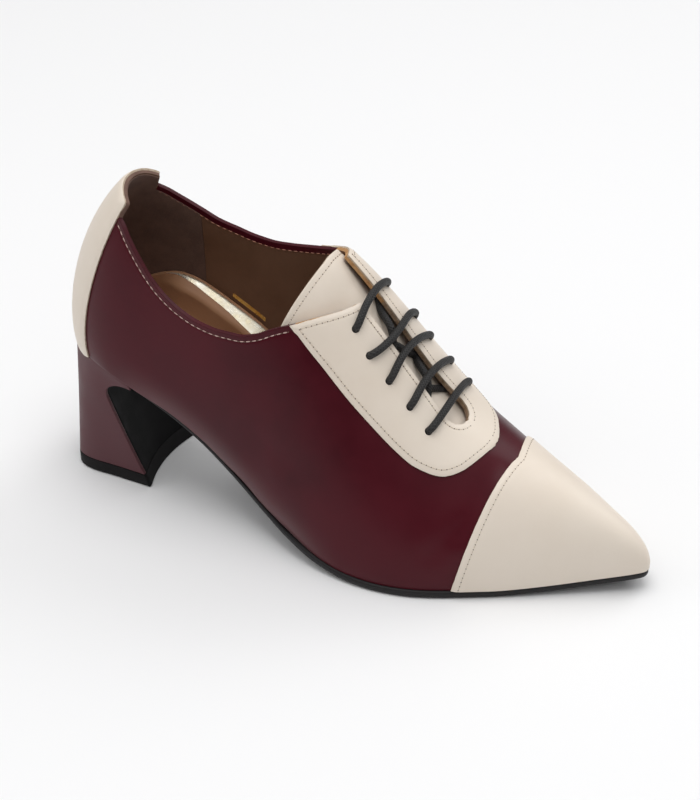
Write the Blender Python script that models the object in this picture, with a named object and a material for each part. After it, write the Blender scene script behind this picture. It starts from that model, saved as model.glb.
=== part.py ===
"""Right-foot lace-up heeled shoe: pointed cap toe, slotted throat, cupped insole and flared block heel.

Shoe coordinates are millimetres: x runs forward from the back of the heel, y is positive to the inner
(medial) side and negative to the outer (lateral) side, and z is height above the floor. The finished
parts are moved so that the origin lies under the middle of the whole shoe, and scaled to metres.
"""

import math
from collections import namedtuple

import bmesh
import bpy
import numpy as np

OBJECT_NAME = "lace_up_heeled_shoe"
MM = 0.001

# Driving sizes, in millimetres
UPPER_WALL = 1.8
OVERLAY_WALL = 1.0
TONGUE_WALL = 1.5
GAP = 0.3
INSOLE_FLOOR = 5.0
INSOLE_WALL = 1.5
LIFT_THICK = 5.5
BREAST_WALL = 0.9
RIM_WIDTH = 1.6
RIM_DEPTH = 1.5
TAB_RISE = 7.6
LACE_RADIUS = 1.35

# Sections of the last, from the back of the heel to the toe tip. Each row is one rib that climbs from the
# feather edge to the crown: facing is the compass turn of its bulge (180 backward, 90 sideways, 0 forward),
# rise and swell lead it off the feather edge, reach and drop bring it onto the crown.
Station = namedtuple(
    "Station",
    "name edge_x edge_lateral edge_medial crown_x facing rise swell_lateral swell_medial reach reach_medial drop",
)
STATIONS = (
    Station("heel_back", 7.2, 0.0, 0.0, 66.0, 180, 33, 6.4, 6.4, 41, 41, 2),
    Station("heel_corner", 12.6, 15.5, 15.5, 67.5, 138, 32, 6.5, 6.5, 30.5, 30.5, 2),
    Station("heel_side", 28.5, 24.5, 24.0, 73.0, 105, 31, 5.0, 5.0, 22, 22, 3),
    Station("heel_breast", 48.0, 25.5, 24.5, 81.0, 93, 31, 5.0, 5.0, 25, 26, 4),
    Station("waist_back", 72.0, 26.5, 22.5, 94.0, 90, 32, 5.5, 7.0, 28, 30, 4),
    Station("waist", 96.0, 31.5, 21.5, 110.0, 90, 30, 5.0, 10.0, 28, 33, 3),
    Station("waist_front", 120.0, 39.5, 25.5, 126.0, 90, 26, 3.5, 10.0, 27, 38, 1),
    Station("ball_back", 146.0, 44.5, 32.5, 148.0, 90, 22, 2.5, 7.0, 26, 41, 0),
    Station("ball", 168.0, 42.5, 36.0, 168.0, 90, 19, 2.0, 4.0, 25, 40, 0),
    Station("ball_front", 189.0, 34.0, 34.5, 187.0, 90, 16, 2.0, 2.5, 22, 33, 0),
    Station("toe_root", 208.0, 24.5, 29.0, 203.0, 86, 13, 1.5, 1.5, 18, 22, 0),
    Station("toe_middle", 226.0, 14.8, 20.0, 218.0, 76, 11, 1.2, 1.2, 13, 14, 0),
    Station("toe_point", 240.0, 7.4, 11.2, 229.0, 58, 9, 1.0, 1.0, 9, 9, 0),
    Station("toe_corner", 248.2, 2.9, 4.7, 234.5, 30, 8, 1.0, 1.0, 7.5, 7.5, 0),
    Station("toe_tip", 250.6, 0.0, 0.0, 236.5, 0, 8, 1.0, 1.0, 7, 7, 0),
)

# Side profile: the feather edge, the sole below it, and how far the sole stands outside that edge
Bottom = namedtuple("Bottom", "x feather sole margin")
BOTTOM = (
    Bottom(0, 59.3, 2.4, -3.0),
    Bottom(14, 59.1, 2.4, -3.0),
    Bottom(24, 57.8, 2.4, -3.0),
    Bottom(32, 55.2, 2.4, -3.0),
    Bottom(45, 48.5, 2.4, -3.0),
    Bottom(58, 41.8, 2.4, -2.6),
    Bottom(70, 34.9, 2.4, -2.2),
    Bottom(85, 25.3, 2.4, -1.6),
    Bottom(100, 16.6, 2.6, -0.8),
    Bottom(115, 10.1, 2.8, 0.0),
    Bottom(130, 5.9, 3.0, 0.6),
    Bottom(145, 3.9, 3.2, 0.9),
    Bottom(158, 3.5, 3.2, 1.0),
    Bottom(196, 3.5, 3.2, 1.0),
    Bottom(215, 4.8, 3.2, 1.0),
    Bottom(235, 7.2, 3.2, 1.0),
    Bottom(252, 9.6, 3.2, 1.0),
)

# Side profile: the ridge of the closed last
Crown = namedtuple("Crown", "x z")
CROWN = (
    Crown(66, 152),
    Crown(73, 152),
    Crown(81, 148.5),
    Crown(94, 139),
    Crown(110, 126.5),
    Crown(126, 112),
    Crown(148, 86),
    Crown(168, 63),
    Crown(187, 50),
    Crown(203, 43.5),
    Crown(218, 37),
    Crown(229, 31.5),
    Crown(237, 27),
)

# Side profile: the collar, running on into the top edge of the facings
Collar = namedtuple("Collar", "x lateral medial")
COLLAR = (
    Collar(0, 126, 126),
    Collar(30, 126, 124.5),
    Collar(37, 123.2, 120.4),
    Collar(42, 117.7, 116.8),
    Collar(47.5, 111.0, 113.6),
    Collar(52, 105.6, 111.1),
    Collar(58, 99.8, 107.9),
    Collar(66, 94.6, 105.6),
    Collar(74, 91.6, 103.7),
    Collar(82, 90.4, 103.0),
    Collar(90, 90.4, 103.9),
    Collar(97, 92.1, 105.3),
    Collar(104, 95.6, 107.0),
    Collar(112, 98.6, 109.8),
    Collar(120, 101.4, 114.5),
    Collar(124, 102.4, 117.6),
    Collar(128, 103.2, 134),
    Collar(132, 104.0, 134),
    Collar(137, 134, 134),
)

# Half widths across the throat: the open slot, the outer border of the eyestay, and the tongue
Throat = namedtuple("Throat", "x half")
SLOT = (
    Throat(118, 6.0),
    Throat(134, 6.2),
    Throat(150, 6.1),
    Throat(160, 6.5),
    Throat(166, 7.5),
    Throat(169.5, 8.3),
    Throat(172, 7.6),
    Throat(173.8, 5.0),
    Throat(174.8, 0.0),
)
EYESTAY_BORDER = (
    Throat(98, 21.0),
    Throat(112, 23.2),
    Throat(125, 25.2),
    Throat(140, 26.9),
    Throat(153, 27.3),
    Throat(161, 27.0),
    Throat(168, 25.5),
    Throat(173.4, 23.4),
    Throat(180, 17.6),
    Throat(184.2, 9.8),
    Throat(186, 4.6),
    Throat(186.6, 0.0),
)
TONGUE_SIDE = (
    Throat(96, 24.0),
    Throat(120, 22.0),
    Throat(150, 17.0),
    Throat(180, 12.0),
)
TONGUE_TOP_CENTRE = 118.3
TONGUE_TOP_SWEEP = 14.3
TONGUE_TOP_BOW = 2.3
TONGUE_DEPTH = 0.8
TONGUE_FRONT = 178.0

# Seam of the toe cap: where it meets the feather edge and the ridge
CAP_FEATHER_X = 184.0
CAP_CROWN_X = 196.2

# Back strip: half breadth measured round the feather edge, at the seat and at the tab
STRIP_SEAT = 25.4
STRIP_TAB = 16.0
STRIP_BOW = 1.6

# Rim of the insole above the feather edge
Rim = namedtuple("Rim", "x lateral medial")
INSOLE_RIM = (
    Rim(0, 8, 8),
    Rim(15, 7.5, 12),
    Rim(25, 7, 18.5),
    Rim(35, 7, 24.8),
    Rim(46, 7.5, 27.9),
    Rim(60, 8, 28.5),
    Rim(72, 8.5, 29),
    Rim(82, 8.8, 27.5),
    Rim(92, 8.8, 23),
    Rim(105, 8.5, 14.5),
    Rim(125, 7.5, 8),
    Rim(150, 6.2, 6.2),
    Rim(252, 5.4, 5.4),
)

# Plan of the heel at the seat and at its foot; the front rim ends the list
Heel = namedtuple("Heel", "name seat_x seat_half foot_x foot_half")
HEEL = (
    Heel("back", 5.2, 0.0, 5.0, 0.0),
    Heel("back_inner", 5.7, 5.0, 5.2, 6.0),
    Heel("back_outer", 7.9, 10.8, 6.1, 12.0),
    Heel("corner", 11.6, 15.4, 8.6, 17.2),
    Heel("corner_side", 16.8, 19.6, 13.0, 19.6),
    Heel("side", 23.5, 22.6, 24.0, 20.6),
    Heel("front", 28.3, 23.8, 41.6, 21.6),
)
HEEL_LEVELS = 6
BREAST_HOLLOW = 3.4

# Lace holes: one row each side of the slot
Hole = namedtuple("Hole", "name x half")
HOLES = (
    Hole("first", 134.0, 15.6),
    Hole("second", 140.6, 17.5),
    Hole("third", 148.7, 17.7),
    Hole("fourth", 157.3, 17.7),
    Hole("fifth", 165.4, 18.3),
)

# Surface finishes: colour, roughness
Finish = namedtuple("Finish", "name colour roughness")
FINISHES = {
    "burgundy_leather": Finish("burgundy_leather", (0.075, 0.014, 0.024), 0.35),
    "cream_leather": Finish("cream_leather", (0.72, 0.65, 0.56), 0.5),
    "heel_wrap": Finish("heel_wrap", (0.11, 0.035, 0.045), 0.6),
    "black_rubber": Finish("black_rubber", (0.012, 0.012, 0.013), 0.55),
    "insole_leather": Finish("insole_leather", (0.30, 0.15, 0.07), 0.6),
    "waxed_cord": Finish("waxed_cord", (0.015, 0.015, 0.017), 0.6),
}


def cubic_spline(knots, values, closed=False):
    """Smooth curve through rows of values; returns a function of the knot parameter."""
    knots = np.asarray(knots, float)
    values = np.asarray(values, float).reshape(len(knots), -1)
    count = len(knots)
    gaps = np.diff(knots)
    system = np.zeros((count, count))
    right = np.zeros_like(values)
    for i in range(1, count - 1):
        system[i, i - 1] = gaps[i - 1]
        system[i, i] = 2 * (gaps[i - 1] + gaps[i])
        system[i, i + 1] = gaps[i]
        right[i] = 6 * ((values[i + 1] - values[i]) / gaps[i] - (values[i] - values[i - 1]) / gaps[i - 1])
    if closed:
        system[0, 0] = 2 * (gaps[0] + gaps[-1])
        system[0, 1] = gaps[0]
        system[0, -2] = gaps[-1]
        right[0] = 6 * ((values[1] - values[0]) / gaps[0] - (values[-1] - values[-2]) / gaps[-1])
        system[-1, 0] = 1
        system[-1, -1] = -1
    else:
        system[0, 0] = 1
        system[-1, -1] = 1
    bends = np.linalg.solve(system, right)

    def evaluate(parameter):
        p = np.asarray(parameter, float)
        if closed:
            p = knots[0] + np.mod(p - knots[0], knots[-1] - knots[0])
        i = np.clip(np.searchsorted(knots, p, side="right") - 1, 0, count - 2)
        h = gaps[i][..., None]
        a = (knots[i + 1] - p)[..., None]
        b = (p - knots[i])[..., None]
        return (
            (bends[i] * a**3 + bends[i + 1] * b**3) / (6 * h)
            + (values[i] / h - bends[i] * h / 6) * a
            + (values[i + 1] / h - bends[i + 1] * h / 6) * b
        )

    return evaluate


def steady_curve(knots, values):
    """Curve through the rows that never overshoots them, for edges and flats."""
    knots = np.asarray(knots, float)
    values = np.asarray(values, float)
    steps = np.diff(knots)
    slopes = np.diff(values) / steps
    turns = np.zeros_like(values)
    turns[0] = slopes[0]
    turns[-1] = slopes[-1]
    for i in range(1, len(knots) - 1):
        if slopes[i - 1] * slopes[i] > 0:
            before = 2 * steps[i] + steps[i - 1]
            after = steps[i] + 2 * steps[i - 1]
            turns[i] = (before + after) / (before / slopes[i - 1] + after / slopes[i])

    def evaluate(parameter):
        p = np.clip(np.asarray(parameter, float), knots[0], knots[-1])
        i = np.clip(np.searchsorted(knots, p, side="right") - 1, 0, len(knots) - 2)
        u = (p - knots[i]) / steps[i]
        return (
            values[i] * (1 + 2 * u) * (1 - u) ** 2
            + turns[i] * steps[i] * u * (1 - u) ** 2
            + values[i + 1] * u**2 * (3 - 2 * u)
            - turns[i + 1] * steps[i] * u**2 * (1 - u)
        )

    return evaluate


def table_curve(rows, column, knot="x"):
    """Steady curve of one column of a table."""
    return steady_curve([getattr(r, knot) for r in rows], [getattr(r, column) for r in rows])


feather_height = table_curve(BOTTOM, "feather")
sole_thickness = table_curve(BOTTOM, "sole")
sole_margin = table_curve(BOTTOM, "margin")
crown_height = cubic_spline([r.x for r in CROWN], [r.z for r in CROWN])
collar_lateral = table_curve(COLLAR, "lateral")
collar_medial = table_curve(COLLAR, "medial")
slot_half = table_curve(SLOT, "half")
border_half = table_curve(EYESTAY_BORDER, "half")
tongue_half = table_curve(TONGUE_SIDE, "half")
rim_lateral = table_curve(INSOLE_RIM, "lateral")
rim_medial = table_curve(INSOLE_RIM, "medial")


def station_loop():
    """Spline of the station columns right round the shoe: lateral side out to the toe, medial side back."""
    places = np.array([(s.edge_x, s.edge_lateral) for s in STATIONS], float)
    along = np.concatenate([[0], np.cumsum(np.linalg.norm(np.diff(places, axis=0), axis=1))])
    half = along[-1]
    lateral = [
        (s.edge_x, -s.edge_lateral, s.crown_x, s.facing, s.rise, s.swell_lateral, s.reach, s.drop)
        for s in STATIONS
    ]
    medial = [
        (s.edge_x, s.edge_medial, s.crown_x, -s.facing, s.rise, s.swell_medial, s.reach_medial, s.drop)
        for s in STATIONS
    ]
    knots = np.concatenate([along, 2 * half - along[-2::-1]])
    rows = np.array(lateral + medial[-2::-1], float)
    headings = np.radians(rows[:, 3])
    columns = np.column_stack([rows[:, :3], np.cos(headings), -np.sin(headings), rows[:, 4:]])
    return cubic_spline(knots, columns, closed=True), half


columns_at, HALF_LOOP = station_loop()


def last_point(p, t):
    """Point of the last's surface: p runs round the feather edge, t climbs from it to the crown."""
    p, t = np.broadcast_arrays(np.asarray(p, float), np.asarray(t, float))
    c = columns_at(p)
    edge_x, edge_y, crown_x, out_x, out_y, rise, swell, reach, drop = np.moveaxis(c, -1, 0)
    size = np.hypot(out_x, out_y)
    out_x, out_y = out_x / size, out_y / size
    edge_z = feather_height(edge_x)
    crown_z = crown_height(crown_x)[..., 0]
    slope = crown_height(crown_x + 0.5)[..., 0] - crown_height(crown_x - 0.5)[..., 0]
    zero = np.zeros_like(edge_x)
    corners = (
        (edge_x, edge_y, edge_z),
        (edge_x + swell * out_x, edge_y + swell * out_y, edge_z + rise),
        (crown_x + reach * out_x, reach * out_y, crown_z - drop + reach * out_x * slope),
        (crown_x, zero, crown_z),
    )
    weights = ((1 - t) ** 3, 3 * t * (1 - t) ** 2, 3 * t**2 * (1 - t), t**3)
    return sum(w[..., None] * np.stack(k, -1) for w, k in zip(weights, corners))


def outward(p, t):
    """Unit normal of the last, away from the foot."""
    p, t = np.broadcast_arrays(np.asarray(p, float), np.asarray(t, float))
    t = np.clip(t, 0.002, 0.995)
    along = last_point(p + 0.05, t) - last_point(p - 0.05, t)
    up = last_point(p, t + 0.001) - last_point(p, t - 0.001)
    normal = np.cross(along, up)
    return normal / np.linalg.norm(normal, axis=-1, keepdims=True)


def skin(p, t, offset):
    """Point standing off the last by this much."""
    return last_point(p, t) + np.asarray(offset, float)[..., None] * outward(p, t)


def from_back(p):
    """Distance round the feather edge from the back of the heel, the same on either side."""
    p = np.mod(p, 2 * HALF_LOOP)
    return np.minimum(p, 2 * HALF_LOOP - p)


def smooth_step(low, high, value):
    u = np.clip((value - low) / (high - low), 0, 1)
    return u * u * (3 - 2 * u)


def last_crossing(test, samples=120):
    """Largest t below which the test still holds, walking up from the feather edge."""
    low, high = 0.0, 1.0
    for _ in range(4):
        walk = np.linspace(low, high, samples + 1)
        failed = np.nonzero(~test(walk))[0]
        if len(failed) == 0:
            return high
        low, high = walk[max(failed[0] - 1, 0)], walk[failed[0]]
    return low


def top_of(p):
    """Height parameter of the upper's top edge: collar, tab, facing or slot; 1 where the vamp closes."""
    lateral = np.mod(p, 2 * HALF_LOOP) < HALF_LOOP
    collar = collar_lateral if lateral else collar_medial
    tab = TAB_RISE * (1 - smooth_step(STRIP_TAB - 1.0, STRIP_TAB + 1.5, from_back(p)))

    def inside(t):
        x, y, z = np.moveaxis(last_point(p, t), -1, 0)
        open_slot = (100 < x) & (x < SLOT[-1].x) & (np.abs(y) < slot_half(x))
        return (z <= collar(x) + tab) & ~open_slot

    return last_crossing(inside)


def mirrored(p):
    return 2 * HALF_LOOP - np.asarray(p, float)


def loop_at(x, t, medial=False):
    """Loop parameter of the rib that stands at this x at height t."""
    x, t, medial = np.broadcast_arrays(np.asarray(x, float), np.asarray(t, float), medial)
    low, high = np.full(x.shape, 1.0), np.full(x.shape, HALF_LOOP)
    for _ in range(36):
        middle = 0.5 * (low + high)
        behind = last_point(np.where(medial, mirrored(middle), middle), t)[..., 0] < x
        low, high = np.where(behind, middle, low), np.where(behind, high, middle)
    return np.where(medial, mirrored(low), low)


def spread_at(x, y):
    """Rib and height parameters of the point of the last at this x and this distance across."""
    x, y = np.broadcast_arrays(np.asarray(x, float), np.asarray(y, float))
    low, high = np.zeros(x.shape), np.ones(x.shape)
    for _ in range(26):
        t = 0.5 * (low + high)
        wide = np.abs(last_point(loop_at(x, t, y > 0), t)[..., 1]) > np.abs(y)
        low, high = np.where(wide, t, low), np.where(wide, high, t)
    t = np.where(y == 0, 1.0, 0.5 * (low + high))
    return loop_at(x, t, y > 0), t


class Piece:
    """Points and faces of one part, in shoe millimetres."""

    def __init__(self, name, finish):
        self.name = name
        self.finish = finish
        self.points = []
        self.faces = []

    def add(self, points):
        start = len(self.points)
        self.points.extend(np.asarray(points, float).reshape(-1, 3))
        return start


def grid_faces(rows, columns, closed=False):
    """Quads of a grid of points stored row by row; columns run along p and rows climb."""
    faces = []
    for r in range(rows - 1):
        for c in range(columns if closed else columns - 1):
            d = (c + 1) % columns
            faces.append((r * columns + c, r * columns + d, (r + 1) * columns + d, (r + 1) * columns + c))
    return faces


def welded(points, faces):
    """Joins points that coincide and drops faces that close up."""
    index, kept, seen = [], [], {}
    for i, point in enumerate(points):
        key = tuple(np.round(point / 0.02).astype(int))
        if key not in seen:
            seen[key] = len(kept)
            kept.append(i)
        index.append(seen[key])
    clean = []
    for face in faces:
        ring = []
        for v in (index[i] for i in face):
            if v not in ring:
                ring.append(v)
        if len(ring) > 2:
            clean.append(tuple(ring))
    return np.array(kept), clean


def shell(name, finish, p, t, low, high, faces):
    """Closed wall between two offsets of the last over a patch of (p, t) points."""
    p, t = np.asarray(p, float).ravel(), np.asarray(t, float).ravel()
    kept, faces = welded(last_point(p, t), faces)
    p, t = p[kept], t[kept]
    piece = Piece(name, finish)
    piece.add(skin(p, t, np.full(len(p), high)))
    under = piece.add(skin(p, t, np.full(len(p), low)))
    piece.faces = list(faces) + [tuple(reversed([v + under for v in f])) for f in faces]
    sides = {}
    for f in faces:
        for a, b in zip(f, f[1:] + f[:1]):
            sides[(a, b)] = True
    piece.faces += [(b, a, a + under, b + under) for a, b in sides if (b, a) not in sides]
    return piece


def upper():
    """Quarters and vamp as one hollow wall, open at the collar, down the slot and underneath."""
    spread = np.linspace(0, HALF_LOOP, 41)
    tab_edge = [STRIP_TAB - 1.5, STRIP_TAB + 2.0]
    slot_front = [float(loop_at(x, 1.0)) for x in (168.5, 171.5, 173.6, SLOT[-1].x + 0.1)]
    extra = np.array(tab_edge + slot_front)
    spread = spread[np.min(np.abs(spread[:, None] - extra[None, :]), axis=1) > 1.7]
    side = np.sort(np.concatenate([spread, extra, [0.0, HALF_LOOP]]))
    side = side[np.concatenate([[True], np.diff(side) > 0.2])]
    p = np.concatenate([side, mirrored(side[-2:0:-1])])
    tops = np.array([top_of(q) for q in p])
    climb = np.linspace(0, 1, 13)
    t = climb[:, None] * tops[None, :]
    faces = grid_faces(len(climb), len(p), closed=True)
    return shell("upper", "burgundy_leather", np.broadcast_to(p, t.shape), t, -UPPER_WALL, 0.0, faces)


def both_sides(side_p, side_t):
    """Lateral patch (rows climb, columns run forward) carried over the toe onto the medial side."""
    p = np.concatenate([side_p, mirrored(side_p[:, -2::-1])], axis=1)
    t = np.concatenate([side_t, side_t[:, -2::-1]], axis=1)
    return p, t, grid_faces(p.shape[0], p.shape[1])


def toe_cap():
    """Cap over the toe, lapped over the vamp."""
    t = np.linspace(0, 1, 10)
    starts = np.array([loop_at(CAP_FEATHER_X + (CAP_CROWN_X - CAP_FEATHER_X) * h, h) for h in t])
    run = np.linspace(0, 1, 12)
    p = starts[:, None] + (HALF_LOOP - starts)[:, None] * run[None, :]
    p, t, faces = both_sides(p, np.broadcast_to(t[:, None], p.shape))
    return shell("toe_cap", "cream_leather", p, t, GAP, GAP + OVERLAY_WALL, faces)


def border_of(p):
    """Height parameter where a rib comes inside the eyestay's border."""

    def within(down):
        x, y, _ = np.moveaxis(last_point(p, 1 - down), -1, 0)
        return np.abs(y) <= border_half(x)

    return 1 - last_crossing(within)


def eyestay():
    """Facing that runs down both sides of the slot and closes in front of it."""
    patches = []
    for medial in (False, True):
        turn = mirrored if medial else (lambda q: q)
        low, high = float(loop_at(96, 0.5, medial)), float(loop_at(150, 0.5, medial))
        low, high = (float(mirrored(v)) for v in (low, high)) if medial else (low, high)
        for _ in range(40):
            middle = 0.5 * (low + high)
            if border_of(turn(middle)) < top_of(turn(middle)):
                high = middle
            else:
                low = middle
        back = high
        front = float(loop_at(EYESTAY_BORDER[-1].x, 1.0))
        slot_end = float(loop_at(SLOT[-1].x, 1.0))
        body = np.linspace(back, slot_end - 7, 14)
        tip = np.array([slot_end - 4, slot_end - 2, slot_end - 0.8, slot_end + 0.15])
        nose = slot_end + (front - slot_end) * np.array([0.4, 0.66, 0.84, 0.95, 1.0])
        p = turn(np.concatenate([body, tip, nose]))
        tops = np.array([top_of(q) for q in p])
        foot = np.minimum(np.array([border_of(q) for q in p]), tops)
        climb = np.linspace(0, 1, 6)
        t = foot[None, :] + climb[:, None] * (tops - foot)[None, :]
        patches.append((np.broadcast_to(p, t.shape), t))
    p, t, faces = [], [], []
    for (side_p, side_t), medial in zip(patches, (False, True)):
        start = sum(q.size for q in p)
        ring = [tuple(start + v for v in f) for f in grid_faces(*side_p.shape)]
        faces += [tuple(reversed(f)) for f in ring] if medial else ring
        p.append(side_p.ravel())
        t.append(side_t.ravel())
    p, t = np.concatenate(p), np.concatenate(t)
    return shell("eyestay", "cream_leather", p, t, GAP, GAP + OVERLAY_WALL, faces)


def heel_strip():
    """Strip up the back of the counter, rising to the tab."""
    climb = np.linspace(0, 1, 13)
    across = np.linspace(-1, 1, 11)
    half = STRIP_SEAT + (STRIP_TAB - STRIP_SEAT) * climb**STRIP_BOW
    p = np.mod(half[:, None] * across[None, :], 2 * HALF_LOOP)
    tops = np.array([[top_of(q) for q in p[-1]]])
    t = climb[:, None] * tops
    return shell("heel_strip", "cream_leather", p, t, GAP, GAP + OVERLAY_WALL, grid_faces(*p.shape))


def tongue():
    """Tongue under the facings, showing through the slot and above the facings."""
    run = np.linspace(0, 1, 15)[None, :]
    climb = np.linspace(0, 1, 6)[:, None]
    back_x = TONGUE_TOP_CENTRE - TONGUE_TOP_SWEEP * (1 - climb) ** TONGUE_TOP_BOW
    x = back_x + (TONGUE_FRONT - back_x) * run
    side_p, side_t = spread_at(x, -tongue_half(x) * (1 - climb))
    p = np.concatenate([side_p, mirrored(side_p[-2::-1])])
    t = np.concatenate([side_t, side_t[-2::-1]])
    top = -UPPER_WALL - TONGUE_DEPTH
    return shell("tongue", "cream_leather", p, t, top - TONGUE_WALL, top, grid_faces(*p.shape))


def strip_faces(lateral, medial):
    """Quads across the shoe between two runs of points."""
    pairs = zip(lateral, lateral[1:], medial[1:], medial)
    return [tuple(dict.fromkeys(f)) for f in pairs]


def insole():
    """Cupped insole: a floor with a side wall that climbs the inside of the upper."""
    side = np.linspace(0, HALF_LOOP, 35)
    p = np.concatenate([side, mirrored(side[-2:0:-1])])
    count, last = len(p), len(side) - 1
    base = last_point(p, np.zeros(count))
    medial = p > HALF_LOOP
    rim = np.where(medial, rim_medial(base[:, 0]), rim_lateral(base[:, 0]))

    def ring(offset, rises):
        found = []
        for q, bottom, rise in zip(p, base, rises):
            t = last_crossing(lambda h: last_point(q, h)[..., 2] < bottom[2] + rise)
            point = skin(q, t, np.array(offset))
            point[2] = bottom[2] + rise
            found.append(point)
        return np.array(found)

    out, inner = -UPPER_WALL - GAP - 0.1, -UPPER_WALL - GAP - 0.1 - INSOLE_WALL
    rings = [
        ring(out, np.full(count, GAP)),
        ring(out, 0.5 * rim),
        ring(out, rim),
        ring(inner, rim),
        ring(inner - 0.6, np.maximum(0.55 * rim, INSOLE_FLOOR - 0.3)),
        ring(inner - 2.4, np.full(count, INSOLE_FLOOR)),
    ]
    piece = Piece("insole", "insole_leather")
    for points in rings:
        piece.add(points)
    for r in range(len(rings) - 1):
        for c in range(count):
            d = (c + 1) % count
            piece.faces.append((r * count + c, r * count + d, (r + 1) * count + d, (r + 1) * count + c))
    lateral = list(range(last + 1))
    inner_side = [0] + [count - i for i in range(1, last)] + [last]
    floor = (len(rings) - 1) * count
    piece.faces += [tuple(reversed(f)) for f in strip_faces(lateral, inner_side)]
    piece.faces += [tuple(floor + v for v in f) for f in strip_faces(lateral, inner_side)]
    return piece


def breast_x(level, y, half):
    """Front of the heel block behind its rim: hollow across, leaning forward to the foot."""
    front = HEEL[-1]
    rim_x = front.seat_x + (front.foot_x - front.seat_x) * level**1.15
    return rim_x - RIM_DEPTH - BREAST_HOLLOW * (1 - np.clip(np.abs(y) / half, 0, 1) ** 2)


def heel_outline(level):
    """Plan of the heel block at a level from 0 at the seat to 1 at the foot, starting at the back."""
    bend = level**1.15
    side = [
        (h.seat_x + (h.foot_x - h.seat_x) * bend, h.seat_half + (h.foot_half - h.seat_half) * level)
        for h in HEEL
    ]
    half = side[-1][1] - RIM_WIDTH
    across = np.linspace(-1, 1, 9) * half
    lateral = [(x, -y) for x, y in side]
    medial = [(x, y) for x, y in side[:0:-1]]
    front = side[-1][0]
    hollow = [(float(breast_x(level, y, half)), float(y)) for y in across]
    return lateral + [(front, -half)] + hollow + [(front, half)] + medial


def loft(name, finish, rings):
    """Closed block through rings of points, first ring on top, capped at both ends."""
    piece = Piece(name, finish)
    count = len(rings[0])
    for points in rings:
        piece.add(points)
    for r in range(len(rings) - 1):
        for c in range(count):
            d = (c + 1) % count
            piece.faces.append(((r + 1) * count + c, (r + 1) * count + d, r * count + d, r * count + c))
    piece.faces.append(tuple(range(count)))
    piece.faces.append(tuple(reversed(range((len(rings) - 1) * count, len(rings) * count))))
    return piece


def heel():
    """Flared block heel, its top shaped to the seat."""
    rings = []
    for level in np.linspace(0, 1, HEEL_LEVELS + 1):
        plan = np.array(heel_outline(level))
        rings.append(np.column_stack([plan, heel_level(plan, level)]))
    return loft("heel", "heel_wrap", rings)


def heel_level(plan, level):
    """Heights of a heel plan at a level: from the shaped seat down to the lift."""
    top = feather_height(plan[:, 0]) - GAP
    return top + (LIFT_THICK + GAP - top) * level


def heel_breast():
    """Black cover set into the hollow front of the heel, inside its rim."""
    rings = []
    front = HEEL[-1]
    for level in np.linspace(0, 1, HEEL_LEVELS + 1):
        half = front.seat_half + (front.foot_half - front.seat_half) * level - RIM_WIDTH
        across = np.linspace(-1, 1, 9) * half
        hollow = np.column_stack([breast_x(level, across, half), across])
        z = heel_level(hollow, level) - (0.5 if level == 0 else 0.0)
        side = across * (half - 1.2 * GAP) / half
        back = np.column_stack([hollow[:, 0] + 1.5 * GAP, side, z])
        ahead = np.column_stack([hollow[:, 0] + 1.5 * GAP + BREAST_WALL, side, z])
        rings.append(np.concatenate([back[::-1], ahead]))
    return loft("heel_breast", "black_rubber", rings)


def top_lift():
    """Wearing layer under the heel."""
    plan = np.array(heel_outline(1.0))
    plan = plan[[i for i in range(len(plan)) if not (abs(plan[i, 1]) == 0 and i > 0 and plan[i, 0] < 10)]]
    middle = np.array([24.0, 0.0])
    grown = middle + (plan - middle) * np.array([1.0, 1.012])
    front = grown[:, 0] > 33
    foot = grown.copy()
    foot[front, 0] += 3.0
    grown[front, 0] += 1.6
    rings = [
        np.column_stack([grown, np.full(len(grown), LIFT_THICK)]),
        np.column_stack([0.15 * grown + 0.85 * foot, np.full(len(grown), 0.6)]),
        np.column_stack([middle + (foot - middle) * 0.975, np.zeros(len(grown))]),
    ]
    return loft("top_lift", "black_rubber", rings)


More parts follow.
